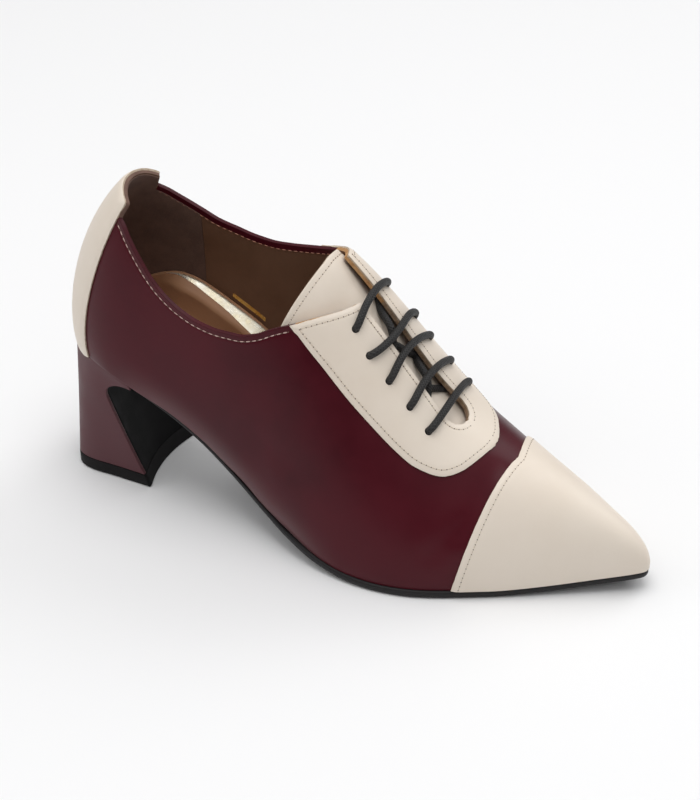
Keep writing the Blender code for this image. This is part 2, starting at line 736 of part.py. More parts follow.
def outsole():
    """Sole from the heel breast to the toe, thin and drawn in at the waist."""
    start = float(loop_at(36.0, 0.0))
    side = np.concatenate([np.linspace(start, HALF_LOOP - 14, 27), HALF_LOOP - np.array([10.0, 6.5, 3.5, 1.5])])
    step = 0.5
    edges = []
    for p in (side, mirrored(side)):
        edge = last_point(p, np.zeros(len(p)))
        along = last_point(p + step, np.zeros(len(p))) - last_point(p - step, np.zeros(len(p)))
        out = np.column_stack([along[:, 1], -along[:, 0]])
        out /= np.linalg.norm(out, axis=1, keepdims=True)
        edges.append((edge, out))
    tip = last_point(HALF_LOOP, 0.0)
    piece = Piece("outsole", "black_rubber")
    profile = ((0.0, 0.0), (0.0, 0.55), (-0.9, 1.0))
    across = (-1, -0.5, 0, 0.5, 1)
    loops = []
    for inset, depth in profile:
        rows = []
        for i in range(len(side)):
            ends = []
            for edge, out in edges:
                margin = sole_margin(edge[i, 0]) + inset
                ends.append(edge[i, :2] + out[i] * margin)
            row = []
            for a in across:
                spot = 0.5 * (ends[0] * (1 - a) + ends[1] * (1 + a))
                if i == 0:
                    half = abs(HEEL[-1].seat_half) - RIM_WIDTH
                    spot[0] = breast_x(0.0, spot[1], half) + 2 * GAP + BREAST_WALL + 1.0
                x = spot[0]
                row.append((x, spot[1], feather_height(x) - GAP - depth * sole_thickness(x)))
            rows.append(row)
        x = tip[0] + sole_margin(tip[0]) + inset
        rows.append([(x, 0.0, feather_height(x) - GAP - depth * sole_thickness(x))])
        loops.append(rows)
    index = [[[piece.add(spot) for spot in row] for row in rows] for rows in loops]
    top, middle, bottom = index
    for sheet, turn in ((top, False), (bottom, True)):
        for a, b in zip(sheet[:-2], sheet[1:-1]):
            for k in range(len(across) - 1):
                face = (a[k], b[k], b[k + 1], a[k + 1])
                piece.faces.append(tuple(reversed(face)) if turn else face)
        nose = [sheet[-2][k] for k in range(len(across))] + [sheet[-1][0]]
        face = tuple([nose[-1]] + list(reversed(nose[:-1])))
        piece.faces.append(tuple(reversed(face)) if turn else face)
    for upper_edge, lower_edge in ((top, middle), (middle, bottom)):
        def ring(rows):
            rear = list(reversed(rows[0]))
            return rear[:-1] + [r[0] for r in rows[:-1]] + [rows[-1][0]] + [r[-1] for r in rows[-2:0:-1]]
        high, low = ring(upper_edge), ring(lower_edge)
        for k in range(len(high)):
            n = (k + 1) % len(high)
            piece.faces.append((low[k], low[n], high[n], high[k]))
    return piece


def tube(path, radius, sides=6):
    """Round cord along a path, closed at both ends."""
    path = np.asarray(path, float)
    points, faces = [], []
    for i, centre in enumerate(path):
        ahead = path[min(i + 1, len(path) - 1)] - path[max(i - 1, 0)]
        ahead /= np.linalg.norm(ahead)
        across = np.cross(ahead, (0.35, 0.0, 0.94))
        across /= np.linalg.norm(across)
        over = np.cross(across, ahead)
        for k in range(sides):
            angle = 2 * math.pi * k / sides
            points.append(centre + radius * (math.cos(angle) * across + math.sin(angle) * over))
    for i in range(len(path) - 1):
        for k in range(sides):
            n = (k + 1) % sides
            faces.append((i * sides + k, i * sides + n, (i + 1) * sides + n, (i + 1) * sides + k))
    faces.append(tuple(reversed(range(sides))))
    faces.append(tuple(range((len(path) - 1) * sides, len(path) * sides)))
    return points, faces


def spot_at(x, y, offset):
    """Points over the last at these x and distances across, standing off by the offset."""
    p, t = spread_at(x, y)
    return skin(p, t, np.full(t.shape, offset))


def lace_cords():
    """Bars over the facings and the crossings between them in the slot, as separate cords."""
    over = GAP + OVERLAY_WALL + 1.6 * GAP + LACE_RADIUS
    cords = []
    for hole in HOLES:
        across = np.array([-1, -0.8, -0.6, -0.43, 0.43, 0.6, 0.8, 1]) * hole.half
        cords.append(spot_at(hole.x, across, over))
    for before, after in zip(HOLES, HOLES[1:]):
        for side in (-1, 1):
            across = np.array([side, -side]) * 3.4
            cords.append(spot_at(np.array([before.x, after.x]), across, over - 1.7))
    return cords


def material_of(finish):
    """Principled material of one finish."""
    if finish.name in bpy.data.materials:
        return bpy.data.materials[finish.name]
    material = bpy.data.materials.new(finish.name)
    material.use_nodes = True
    shader = material.node_tree.nodes["Principled BSDF"]
    shader.inputs["Base Color"].default_value = (*finish.colour, 1.0)
    shader.inputs["Roughness"].default_value = finish.roughness
    material.diffuse_color = (*finish.colour, 1.0)
    return material


def put(piece, home, shift):
    """Object for one piece, in metres, with its own material and outward faces."""
    mesh = bpy.data.meshes.new(piece.name)
    points = (np.array(piece.points) - shift) * MM
    mesh.from_pydata([tuple(v) for v in points], [], piece.faces)
    build = bmesh.new()
    build.from_mesh(mesh)
    bmesh.ops.recalc_face_normals(build, faces=build.faces)
    if build.calc_volume(signed=True) < 0:
        bmesh.ops.reverse_faces(build, faces=build.faces)
    bmesh.ops.triangulate(build, faces=build.faces)
    build.to_mesh(mesh)
    build.free()
    mesh.validate()
    thing = bpy.data.objects.new(piece.name, mesh)
    thing.data.materials.append(material_of(FINISHES[piece.finish]))
    home.objects.link(thing)
    return thing


def lace(home, cutters, shift):
    """The lace as one solid: the first bar, joined with every other bar and crossing."""
    body = None
    for number, path in enumerate(lace_cords()):
        piece = Piece("lace" if number == 0 else f"lace_cord_{number}", "waxed_cord")
        piece.points, piece.faces = tube(path, LACE_RADIUS if number < len(HOLES) else LACE_RADIUS - 0.07)
        if number == 0:
            body = put(piece, home, shift)
            continue
        other = put(piece, cutters, shift)
        other.hide_render = True
        other.display_type = "WIRE"
        join = body.modifiers.new(other.name, "BOOLEAN")
        join.operation = "UNION"
        join.solver = "EXACT"
        join.object = other
    return body


def clear_scene():
    for thing in list(bpy.data.objects):
        bpy.data.objects.remove(thing, do_unlink=True)
    for group in list(bpy.data.collections):
        bpy.data.collections.remove(group)


def main():
    clear_scene()
    home = bpy.data.collections.new(OBJECT_NAME)
    cutters = bpy.data.collections.new("cutters")
    bpy.context.scene.collection.children.link(home)
    bpy.context.scene.collection.children.link(cutters)
    cutters.hide_render = True
    pieces = [
        upper(), toe_cap(), eyestay(), heel_strip(), tongue(), insole(), outsole(), heel(), heel_breast(), top_lift(),
    ]
    everything = np.concatenate([np.array(piece.points) for piece in pieces])
    low, high = everything.min(axis=0), everything.max(axis=0)
    shift = np.array([0.5 * (low[0] + high[0]), 0.5 * (low[1] + high[1]), low[2]])
    for piece in pieces:
        put(piece, home, shift)
    lace(home, cutters, shift)


if __name__ == "__main__":
    main()
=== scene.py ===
"""Right-foot lace-up heeled shoe, dressed in polished and matt leather, suede, rubber, foil and waxed cord.

Shoe coordinates are millimetres: x runs forward from the back of the heel, y is positive to the inner
(medial) side and negative to the outer (lateral) side, and z is height above the floor. Every finished
piece is written in metres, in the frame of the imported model.
"""

import logging
import math
from dataclasses import dataclass, field
from enum import Enum
from functools import cache
from typing import Callable, NamedTuple, Optional, Sequence

import bpy
import numpy as np
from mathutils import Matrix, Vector


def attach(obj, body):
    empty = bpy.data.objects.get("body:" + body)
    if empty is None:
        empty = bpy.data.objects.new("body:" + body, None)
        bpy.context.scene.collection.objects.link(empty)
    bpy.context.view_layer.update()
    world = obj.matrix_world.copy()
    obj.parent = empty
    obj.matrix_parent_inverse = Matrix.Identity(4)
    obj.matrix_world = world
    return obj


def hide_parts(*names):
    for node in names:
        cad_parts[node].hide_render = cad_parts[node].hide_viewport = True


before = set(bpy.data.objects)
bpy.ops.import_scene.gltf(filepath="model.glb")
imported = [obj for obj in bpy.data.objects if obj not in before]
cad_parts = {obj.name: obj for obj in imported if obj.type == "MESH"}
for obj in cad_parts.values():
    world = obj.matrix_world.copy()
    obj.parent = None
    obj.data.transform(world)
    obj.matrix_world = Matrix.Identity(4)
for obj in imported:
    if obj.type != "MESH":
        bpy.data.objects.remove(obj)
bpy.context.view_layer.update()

LOG = logging.getLogger("shoe")
Array = np.ndarray
Colour = tuple[float, float, float]
Thing = bpy.types.Object
Node = bpy.types.Node
Socket = bpy.types.NodeSocket
Tree = bpy.types.NodeTree
Material = bpy.types.Material

MM = 0.001
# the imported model's origin, in shoe millimetres
SHIFT = np.array([128.392, -3.925, 0.0])
BODY = "root"
RIM_FIELD = "rim"
RIM_REACH = 1.1
TAB_FIELD = "tab"
CLIMB_FIELD = "climb"
ROLL_FIELD = "roll"


class Station(NamedTuple):
    """One rib of the last: its feather edge, its crown and how it bulges between them."""

    edge_x: float
    edge_lateral: float
    edge_medial: float
    crown_x: float
    facing: float
    rise: float
    swell_lateral: float
    swell_medial: float
    reach: float
    reach_medial: float
    drop: float


class Bottom(NamedTuple):
    """Side profile of the feather edge, with the sole's thickness and how far it stands out."""

    x: float
    feather: float
    sole: float
    margin: float


class Sides(NamedTuple):
    """Heights at one x on the outer and the inner side."""

    x: float
    lateral: float
    medial: float


class Across(NamedTuple):
    """A half width, or a height, at one x."""

    x: float
    half: float


class LaceHole(NamedTuple):
    """A pair of lace holes, outer and inner, and how far the bar between them bows towards the toe."""

    lateral_x: float
    lateral: float
    medial_x: float
    medial: float
    bow: float


class HeelPoint(NamedTuple):
    """One corner of the heel's plan, at the seat and at its foot."""

    seat_x: float
    seat_half: float
    foot_x: float
    foot_half: float


STATIONS = (
    Station(7.2, 0.0, 0.0, 66.0, 180, 33, 6.4, 6.4, 41, 41, 2),
    Station(12.6, 15.5, 15.5, 67.5, 138, 32, 6.5, 6.5, 30.5, 30.5, 2),
    Station(28.5, 24.5, 24.0, 73.0, 105, 31, 5.0, 5.0, 22, 22, 3),
    Station(48.0, 25.5, 24.5, 81.0, 93, 31, 5.0, 5.0, 25, 26, 4),
    Station(72.0, 26.5, 22.5, 94.0, 90, 32, 5.5, 7.0, 28, 30, 4),
    Station(96.0, 31.5, 21.5, 110.0, 90, 30, 5.0, 10.0, 28, 33, 3),
    Station(120.0, 39.5, 25.5, 126.0, 90, 26, 3.5, 10.0, 27, 38, 1),
    Station(146.0, 44.5, 32.5, 148.0, 90, 22, 2.5, 7.0, 26, 41, 0),
    Station(168.0, 42.5, 36.0, 168.0, 90, 19, 2.0, 4.0, 25, 40, 0),
    Station(189.0, 34.0, 34.5, 187.0, 90, 16, 2.0, 2.5, 22, 33, 0),
    Station(208.0, 24.5, 29.0, 203.0, 86, 13, 1.5, 1.5, 18, 22, 0),
    Station(226.0, 14.8, 20.0, 218.0, 76, 11, 1.2, 1.2, 13, 14, 0),
    Station(240.0, 7.4, 11.2, 229.0, 58, 9, 1.0, 1.0, 9, 9, 0),
    Station(248.2, 2.9, 4.7, 234.5, 30, 8, 1.0, 1.0, 7.5, 7.5, 0),
    Station(250.6, 0.0, 0.0, 236.5, 0, 8, 1.0, 1.0, 7, 7, 0),
)
BOTTOM = tuple(
    Bottom(*row)
    for row in (
        (0, 59.3, 2.4, -3.0), (14, 59.1, 2.4, -3.0), (24, 57.8, 2.4, -3.0), (32, 55.2, 2.4, -3.0),
        (45, 48.5, 2.4, -3.0), (58, 41.8, 2.4, -2.6), (70, 34.9, 2.4, -2.2), (85, 25.3, 2.4, -1.6),
        (100, 16.6, 2.6, -0.8), (115, 10.1, 2.8, 0.0), (130, 5.9, 3.0, 0.6), (145, 3.9, 3.2, 0.9),
        (158, 3.5, 3.2, 1.0), (196, 3.5, 3.2, 1.0), (215, 4.8, 3.2, 1.0), (235, 7.2, 3.2, 1.0),
        (252, 9.6, 3.2, 1.0),
    )
)
CROWN = tuple(
    Across(*row)
    for row in (
        (66, 152), (73, 152), (81, 148.5), (94, 139), (110, 126.5), (126, 112), (148, 86), (168, 63),
        (187, 50), (203, 43.5), (218, 37), (229, 31.5), (237, 27),
    )
)
COLLAR = tuple(
    Sides(*row)
    for row in (
        (0, 126, 126), (30, 126, 124.5), (37, 123.2, 120.4), (42, 117.7, 116.8), (47.5, 111, 113.6),
        (52, 105.6, 111.1), (58, 99.8, 107.9), (66, 94.6, 105.6), (74, 91.6, 103.7), (82, 90.4, 103),
        (90, 90.4, 103.9), (97, 92.1, 105.3), (104, 95.6, 107), (112, 98.6, 109.8), (120, 101.4, 114.5),
        (124, 102.4, 117.6), (128, 103.2, 134), (132, 104, 134), (137, 134, 134),
    )
)
SLOT = tuple(
    Across(*row)
    for row in (
        (118, 6), (134, 6.2), (150, 6.1), (160, 6.4), (166, 7.1), (169, 7.3), (171.4, 6.6), (173.2, 4.9),
        (174.3, 2.8), (174.8, 0),
    )
)
EYESTAY_BORDER = tuple(
    Across(*row)
    for row in (
        (98, 21), (112, 23.2), (125, 25.2), (140, 26.9), (153, 27.3), (161, 27), (168, 25.5),
        (173.4, 23.4), (180, 17.6), (184.2, 9.8), (186, 4.6), (186.6, 0),
    )
)
TONGUE_SIDE = (Across(96, 24.0), Across(120, 22.0), Across(150, 17.0), Across(180, 12.0))
HOLES = (
    LaceHole(133.3, 13.6, 132.8, 15.5, 0.0),
    LaceHole(139.9, 15.5, 143.0, 20.0, 3.0),
    LaceHole(148.0, 15.7, 150.3, 17.9, -0.2),
    LaceHole(156.6, 15.7, 158.6, 19.4, 0.0),
    LaceHole(164.7, 16.3, 166.6, 19.4, 1.2),
)
HEEL_PLAN = (
    HeelPoint(5.2, 0.0, 5.0, 0.0),
    HeelPoint(5.7, 5.0, 5.2, 6.0),
    HeelPoint(7.9, 10.8, 6.1, 12.0),
    HeelPoint(11.6, 15.4, 8.6, 17.2),
    HeelPoint(16.8, 19.6, 13.0, 19.6),
    HeelPoint(22.5, 22.3, 23.5, 20.6),
    HeelPoint(20.6, 22.4, 41.6, 21.6),
)

UPPER_WALL = 1.8
OVERLAY_WALL = 1.0
GAP = 0.3
STRIP_SEAT = 25.4
STRIP_TAB = 16.0
STRIP_BOW = 1.6
TAB_RISE = 7.6
LACE_RADIUS = 1.5
ROLL_DEPTH = 1.4
ROLL_REACH = 18.0
SKIVE_DEPTH = 0.6
SKIVE_WIDTH = 1.1
GROOVE_DEPTH = 0.12
GROOVE_WIDTH = 0.6
GROOVE_INSET = 2.4
STITCH_SINK = 0.08
CLOSED = 0.999
SLOT_BACK_X = 100.0
WAIST_START = (28.0, 52.0)
WAIST_END = (112.0, 140.0)
COARSE_STEPS = 160
FINE_STEPS = 40
LOOP_HALVINGS = 34
CLIMB_HALVINGS = 24


def to_frame(points: Array) -> Array:
    """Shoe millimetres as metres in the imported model's frame."""
    return (np.asarray(points, float) - SHIFT) * MM


def smooth_curve(knots: Sequence[float], values: Array, closed: bool = False) -> Callable[[Array], Array]:
    """Cubic spline through rows of values.

    Args:
        knots: parameter of each row.
        values: one row per knot.
        closed: whether the last row runs smoothly into the first.

    Returns:
        A function of the parameter that gives rows of values.
    """
    knots = np.asarray(knots, float)
    values = np.asarray(values, float).reshape(len(knots), -1)
    count, gaps = len(knots), np.diff(knots)
    system, right = np.zeros((count, count)), np.zeros_like(values)
    for i in range(1, count - 1):
        system[i, i - 1 : i + 2] = gaps[i - 1], 2 * (gaps[i - 1] + gaps[i]), gaps[i]
        right[i] = 6 * ((values[i + 1] - values[i]) / gaps[i] - (values[i] - values[i - 1]) / gaps[i - 1])
    if closed:
        system[0, 0], system[0, 1], system[0, -2] = 2 * (gaps[0] + gaps[-1]), gaps[0], gaps[-1]
        right[0] = 6 * ((values[1] - values[0]) / gaps[0] - (values[-1] - values[-2]) / gaps[-1])
        system[-1, 0], system[-1, -1] = 1, -1
    else:
        system[0, 0] = system[-1, -1] = 1
    bends = np.linalg.solve(system, right)

    def evaluate(parameter: Array) -> Array:
        """Rows of values at these parameters.

        Args:
            parameter: any shape.

        Returns:
            One row for each parameter.
        """
        p = np.asarray(parameter, float)
        if closed:
            p = knots[0] + np.mod(p - knots[0], knots[-1] - knots[0])
        i = np.clip(np.searchsorted(knots, p, side="right") - 1, 0, count - 2)
        h = gaps[i][..., None]
        a, b = (knots[i + 1] - p)[..., None], (p - knots[i])[..., None]
        return (
            (bends[i] * a**3 + bends[i + 1] * b**3) / (6 * h)
            + (values[i] / h - bends[i] * h / 6) * a
            + (values[i + 1] / h - bends[i + 1] * h / 6) * b
        )

    return evaluate


def steady_curve(rows: Sequence[NamedTuple], column: str) -> Callable[[Array], Array]:
    """Curve of one column of a table against its x, that never overshoots the rows.

    Args:
        rows: the table.
        column: name of the column.

    Returns:
        A function of x.
    """
    knots = np.array([row.x for row in rows], float)
    values = np.array([getattr(row, column) for row in rows], float)
    steps = np.diff(knots)
    slopes = np.diff(values) / steps
    turns = np.concatenate([slopes[:1], np.zeros(len(knots) - 2), slopes[-1:]])
    for i in range(1, len(knots) - 1):
        if slopes[i - 1] * slopes[i] > 0:
            before, after = 2 * steps[i] + steps[i - 1], steps[i] + 2 * steps[i - 1]
            turns[i] = (before + after) / (before / slopes[i - 1] + after / slopes[i])

    def evaluate(parameter: Array) -> Array:
        """Values at these x.

        Args:
            parameter: places along x.

        Returns:
            One value for each place.
        """
        p = np.clip(np.asarray(parameter, float), knots[0], knots[-1])
        i = np.clip(np.searchsorted(knots, p, side="right") - 1, 0, len(knots) - 2)
        u = (p - knots[i]) / steps[i]
        return (
            values[i] * (1 + 2 * u) * (1 - u) ** 2
            + turns[i] * steps[i] * u * (1 - u) ** 2
            + values[i + 1] * u**2 * (3 - 2 * u)
            - turns[i + 1] * steps[i] * u**2 * (1 - u)
        )

    return evaluate


def smooth_step(low: float, high: float, value: Array) -> Array:
    """Soft ramp from 0 at low to 1 at high."""
    u = np.clip((np.asarray(value, float) - low) / (high - low), 0, 1)
    return u * u * (3 - 2 * u)


def climb_until(holds: Callable[[Array], Array], count: int) -> Array:
    """Greatest height of each rib up to which a test holds, walking up from 0.

    Args:
        holds: takes heights, one row per step and one column per rib, and says where the test holds.
        count: number of ribs.

    Returns:
        One height per rib, 1 where the test never fails.
    """
    low, high, rib = np.zeros(count), np.ones(count), np.arange(count)
    never = np.zeros(count, bool)
    for steps in (COARSE_STEPS, FINE_STEPS, FINE_STEPS):
        walk = low + (high - low) * np.linspace(0, 1, steps + 1)[:, None]
        failed = ~holds(walk)
        first = np.where(failed.any(axis=0), failed.argmax(axis=0), steps)
        if steps == COARSE_STEPS:
            never = ~failed.any(axis=0)
        low, high = walk[np.maximum(first - 1, 0), rib], walk[first, rib]
    return np.where(never, 1.0, low)


def along(line: Array) -> Array:
    """Length run along a line of points up to each point."""
    return np.concatenate([[0.0], np.cumsum(np.linalg.norm(np.diff(line, axis=0), axis=1))])


def unit(vectors: Array) -> Array:
    """Vectors brought to length 1."""
    return vectors / np.maximum(np.linalg.norm(vectors, axis=-1, keepdims=True), 1e-9)


def tangents(line: Array) -> Array:
    """Unit directions along a line of points."""
    return unit(np.gradient(line, axis=0))


def resample(line: Array, step: float) -> Array:
    """The same line with points at an even step, in millimetres.

    Args:
        line: points of the line.
        step: wanted step.

    Returns:
        The points.
    """
    run = along(line)
    marks = np.linspace(0, run[-1], max(2, int(round(run[-1] / step)) + 1))
    return np.stack([np.interp(marks, run, line[:, k]) for k in range(line.shape[1])], -1)


def nearest(points: Array, line: Array) -> Array:
    """Distance of each point from the nearest point of a line.

    Args:
        points: any shape that ends in 3.
        line: points of the line, close together.

    Returns:
        Distances, in the shape of points without its last axis.
    """
    flat = points.reshape(-1, 3)
    found = np.empty(len(flat))
    size = 2000
    for start in range(0, len(flat), size):
        block = flat[start : start + size]
        found[start : start + size] = np.sqrt(((block[:, None, :] - line[None]) ** 2).sum(-1)).min(axis=1)
    return found.reshape(points.shape[:-1])


def hump(distance: Array, width: float) -> Array:
    """Soft hump, 1 where the distance is 0."""
    return np.exp(-((distance / width) ** 2))


def skived(edge: Array, groove: float = 0.0, row: float = 0.0) -> Array:
    """Offset of an overlay from the last, sunk at its thinned edge and grooved along a row of stitches.

    Args:
        edge: distances from the overlay's edge.
        groove: depth of the groove.
        row: distance of the row from the edge.

    Returns:
        Offsets in millimetres.
    """
    return GAP - groove * hump(edge - row, GROOVE_WIDTH) - SKIVE_DEPTH * hump(edge, SKIVE_WIDTH)


def there_and_back(rows: Array) -> Array:
    """Rows followed by the same rows in reverse, the last one once."""
    return np.concatenate([rows, rows[-2::-1]])


@dataclass
class Last:
    """The form inside the shoe: ribs that climb from the feather edge to the crown, right round the foot."""

    stations: Sequence[Station] = STATIONS
    bottom: Sequence[Bottom] = BOTTOM
    half: float = field(init=False, default=0.0)

    def __post_init__(self) -> None:
        """Makes the curves of the tables."""
        self.feather = steady_curve(self.bottom, "feather")
        self.sole = steady_curve(self.bottom, "sole")
        self.margin = steady_curve(self.bottom, "margin")
        self.crown = smooth_curve([r.x for r in CROWN], [r.half for r in CROWN])
        self.collar_lateral = steady_curve(COLLAR, "lateral")
        self.collar_medial = steady_curve(COLLAR, "medial")
        self.slot = steady_curve(SLOT, "half")
        self.eyestay_half = steady_curve(EYESTAY_BORDER, "half")
        self.tongue_half = steady_curve(TONGUE_SIDE, "half")
        places = np.array([(s.edge_x, s.edge_lateral) for s in self.stations], float)
        run = along(places)
        self.half = float(run[-1])
        rows = [
            (s.edge_x, -s.edge_lateral, s.crown_x, s.facing, s.rise, s.swell_lateral, s.reach, s.drop)
            for s in self.stations
        ]
        rows += [
            (s.edge_x, s.edge_medial, s.crown_x, -s.facing, s.rise, s.swell_medial, s.reach_medial, s.drop)
            for s in self.stations[-2::-1]
        ]
        rows = np.array(rows, float)
        heading = np.radians(rows[:, 3])
        columns = np.column_stack([rows[:, :3], np.cos(heading), -np.sin(heading), rows[:, 4:]])
        self.columns = smooth_curve(self.both(run), columns, closed=True)

    def point(self, p: Array, t: Array) -> Array:
        """Points of the surface: p runs round the feather edge, t climbs from it to the crown.

        Args:
            p: loop parameters.
            t: height parameters.

        Returns:
            Points in shoe millimetres.
        """
        p, t = np.broadcast_arrays(np.asarray(p, float), np.asarray(t, float))
        columns = np.moveaxis(self.columns(p), -1, 0)
        edge_x, edge_y, crown_x, out_x, out_y, rise, swell, reach, drop = columns
        size = np.hypot(out_x, out_y)
        out_x, out_y = out_x / size, out_y / size
        edge_z = self.feather(edge_x)
        crown_z = self.crown(crown_x)[..., 0]
        slope = self.crown(crown_x + 0.5)[..., 0] - self.crown(crown_x - 0.5)[..., 0]
        corners = (
            (edge_x, edge_y, edge_z),
            (edge_x + swell * out_x, edge_y + swell * out_y, edge_z + rise),
            (crown_x + reach * out_x, reach * out_y, crown_z - drop + reach * out_x * slope),
            (crown_x, np.zeros_like(edge_x), crown_z),
        )
        weights = ((1 - t) ** 3, 3 * t * (1 - t) ** 2, 3 * t**2 * (1 - t), t**3)
        return sum(w[..., None] * np.stack(c, -1) for w, c in zip(weights, corners))

    def outward(self, p: Array, t: Array) -> Array:
        """Unit normals, away from the foot.

        Args:
            p: loop parameters.
            t: height parameters.

        Returns:
            One normal for each point.
        """
        p, t = np.broadcast_arrays(np.asarray(p, float), np.asarray(t, float))
        step, rise, lowest, highest = 0.05, 0.001, 0.002, 0.995
        t = np.clip(t, lowest, highest)
        ahead = self.point(p + step, t) - self.point(p - step, t)
        climb = self.point(p, t + rise) - self.point(p, t - rise)
        return unit(np.cross(ahead, climb))

    def skin(self, p: Array, t: Array, offset: Array) -> Array:
        """Points that stand off the surface by the offset, in millimetres."""
        return self.point(p, t) + np.asarray(offset, float)[..., None] * self.outward(p, t)

    def mirrored(self, p: Array) -> Array:
        """The same distance from the heel's back on the other side."""
        return 2 * self.half - np.asarray(p, float)

    def both(self, p: Array) -> Array:
        """Loop parameters of the outer side, followed by those of the inner side back to the start."""
        return np.concatenate([p, self.mirrored(p[-2::-1])])

    def from_back(self, p: Array) -> Array:
        """Distance round the feather edge from the back of the heel."""
        p = np.mod(p, 2 * self.half)
        return np.minimum(p, 2 * self.half - p)

    def top(self, p: Array) -> Array:
        """Height parameter of the upper's top edge on each rib; 1 where the vamp closes over.

        Args:
            p: loop parameters.

        Returns:
            One height parameter for each rib.
        """
        p = np.atleast_1d(np.asarray(p, float))
        lateral = np.mod(p, 2 * self.half) < self.half
        away = self.from_back(p)
        tab = TAB_RISE * (1 - smooth_step(STRIP_TAB - 1.0, STRIP_TAB + 1.5, away))
        outer = np.where(lateral, 1.0, 1 - smooth_step(0.0, STRIP_TAB, away))

        def inside(t: Array) -> Array:
            """Whether points lie below the collar and outside the slot.

            Args:
                t: height parameters, one column per rib.

            Returns:
                True where they do.
            """
            x, y, z = np.moveaxis(self.point(p, t), -1, 0)
            collar = outer * self.collar_lateral(x) + (1 - outer) * self.collar_medial(x)
            open_slot = (x > SLOT_BACK_X) & (x < SLOT[-1].x) & (np.abs(y) < self.slot(x))
            return (z <= collar + tab) & ~open_slot

        return climb_until(inside, len(p))

    def eyestay_border(self, p: Array) -> Array:
        """Height parameter at which each rib comes inside the eyestay's border.

        Args:
            p: loop parameters.

        Returns:
            One height parameter for each rib.
        """
        p = np.atleast_1d(np.asarray(p, float))

        def within(down: Array) -> Array:
            """Whether points, walking down from the crown, are still on the eyestay."""
            x, y, _ = np.moveaxis(self.point(p, 1 - down), -1, 0)
            return np.abs(y) <= self.eyestay_half(x)

        return 1 - climb_until(within, len(p))

    def roll(self, p: Array, rise: Array) -> Array:
        """How far the leather rolls in at the waist, by its height above the feather edge.

        Args:
            p: loop parameters.
            rise: heights above the feather edge.

        Returns:
            Offsets, 0 or less.
        """
        x = self.columns(np.asarray(p, float))[..., 0]
        fade = smooth_step(*WAIST_START, x) * (1 - smooth_step(*WAIST_END, x))
        return -ROLL_DEPTH * fade * np.clip(1 - np.asarray(rise, float) / ROLL_REACH, 0, 1) ** 2

    def height_at(self, p: Array, z: Array) -> Array:
        """Height parameter at which each rib reaches a level."""
        p = np.atleast_1d(np.asarray(p, float))
        return climb_until(lambda t: self.point(p, t)[..., 2] < z, len(p))

    def loop_at(self, x: Array, t: Array, medial: Array = False) -> Array:
        """Loop parameter of the rib that stands at x at a height parameter.

        Args:
            x: places along the shoe.
            t: height parameters.
            medial: whether on the inner side.

        Returns:
            One loop parameter for each place.
        """
        x, t, medial = np.broadcast_arrays(np.asarray(x, float), np.asarray(t, float), medial)
        low, high = np.full(x.shape, 1.0), np.full(x.shape, self.half)
        for _ in range(LOOP_HALVINGS):
            middle = 0.5 * (low + high)
            behind = self.point(np.where(medial, self.mirrored(middle), middle), t)[..., 0] < x
            low, high = np.where(behind, middle, low), np.where(behind, high, middle)
        return np.where(medial, self.mirrored(low), low)

    def spread_at(self, x: Array, y: Array) -> tuple[Array, Array]:
        """Loop and height parameters of the point at x and at a distance across.

        Args:
            x: places along the shoe.
            y: places across it, negative on the outer side.

        Returns:
            Loop parameters and height parameters.
        """
        x, y = np.broadcast_arrays(np.asarray(x, float), np.asarray(y, float))
        low, high = np.zeros(x.shape), np.ones(x.shape)
        for _ in range(CLIMB_HALVINGS):
            t = 0.5 * (low + high)
            wide = np.abs(self.point(self.loop_at(x, t, y > 0), t)[..., 1]) > np.abs(y)
            low, high = np.where(wide, t, low), np.where(wide, high, t)
        t = np.where(y == 0, 1.0, 0.5 * (low + high))
        return self.loop_at(x, t, y > 0), t


LAST = Last()


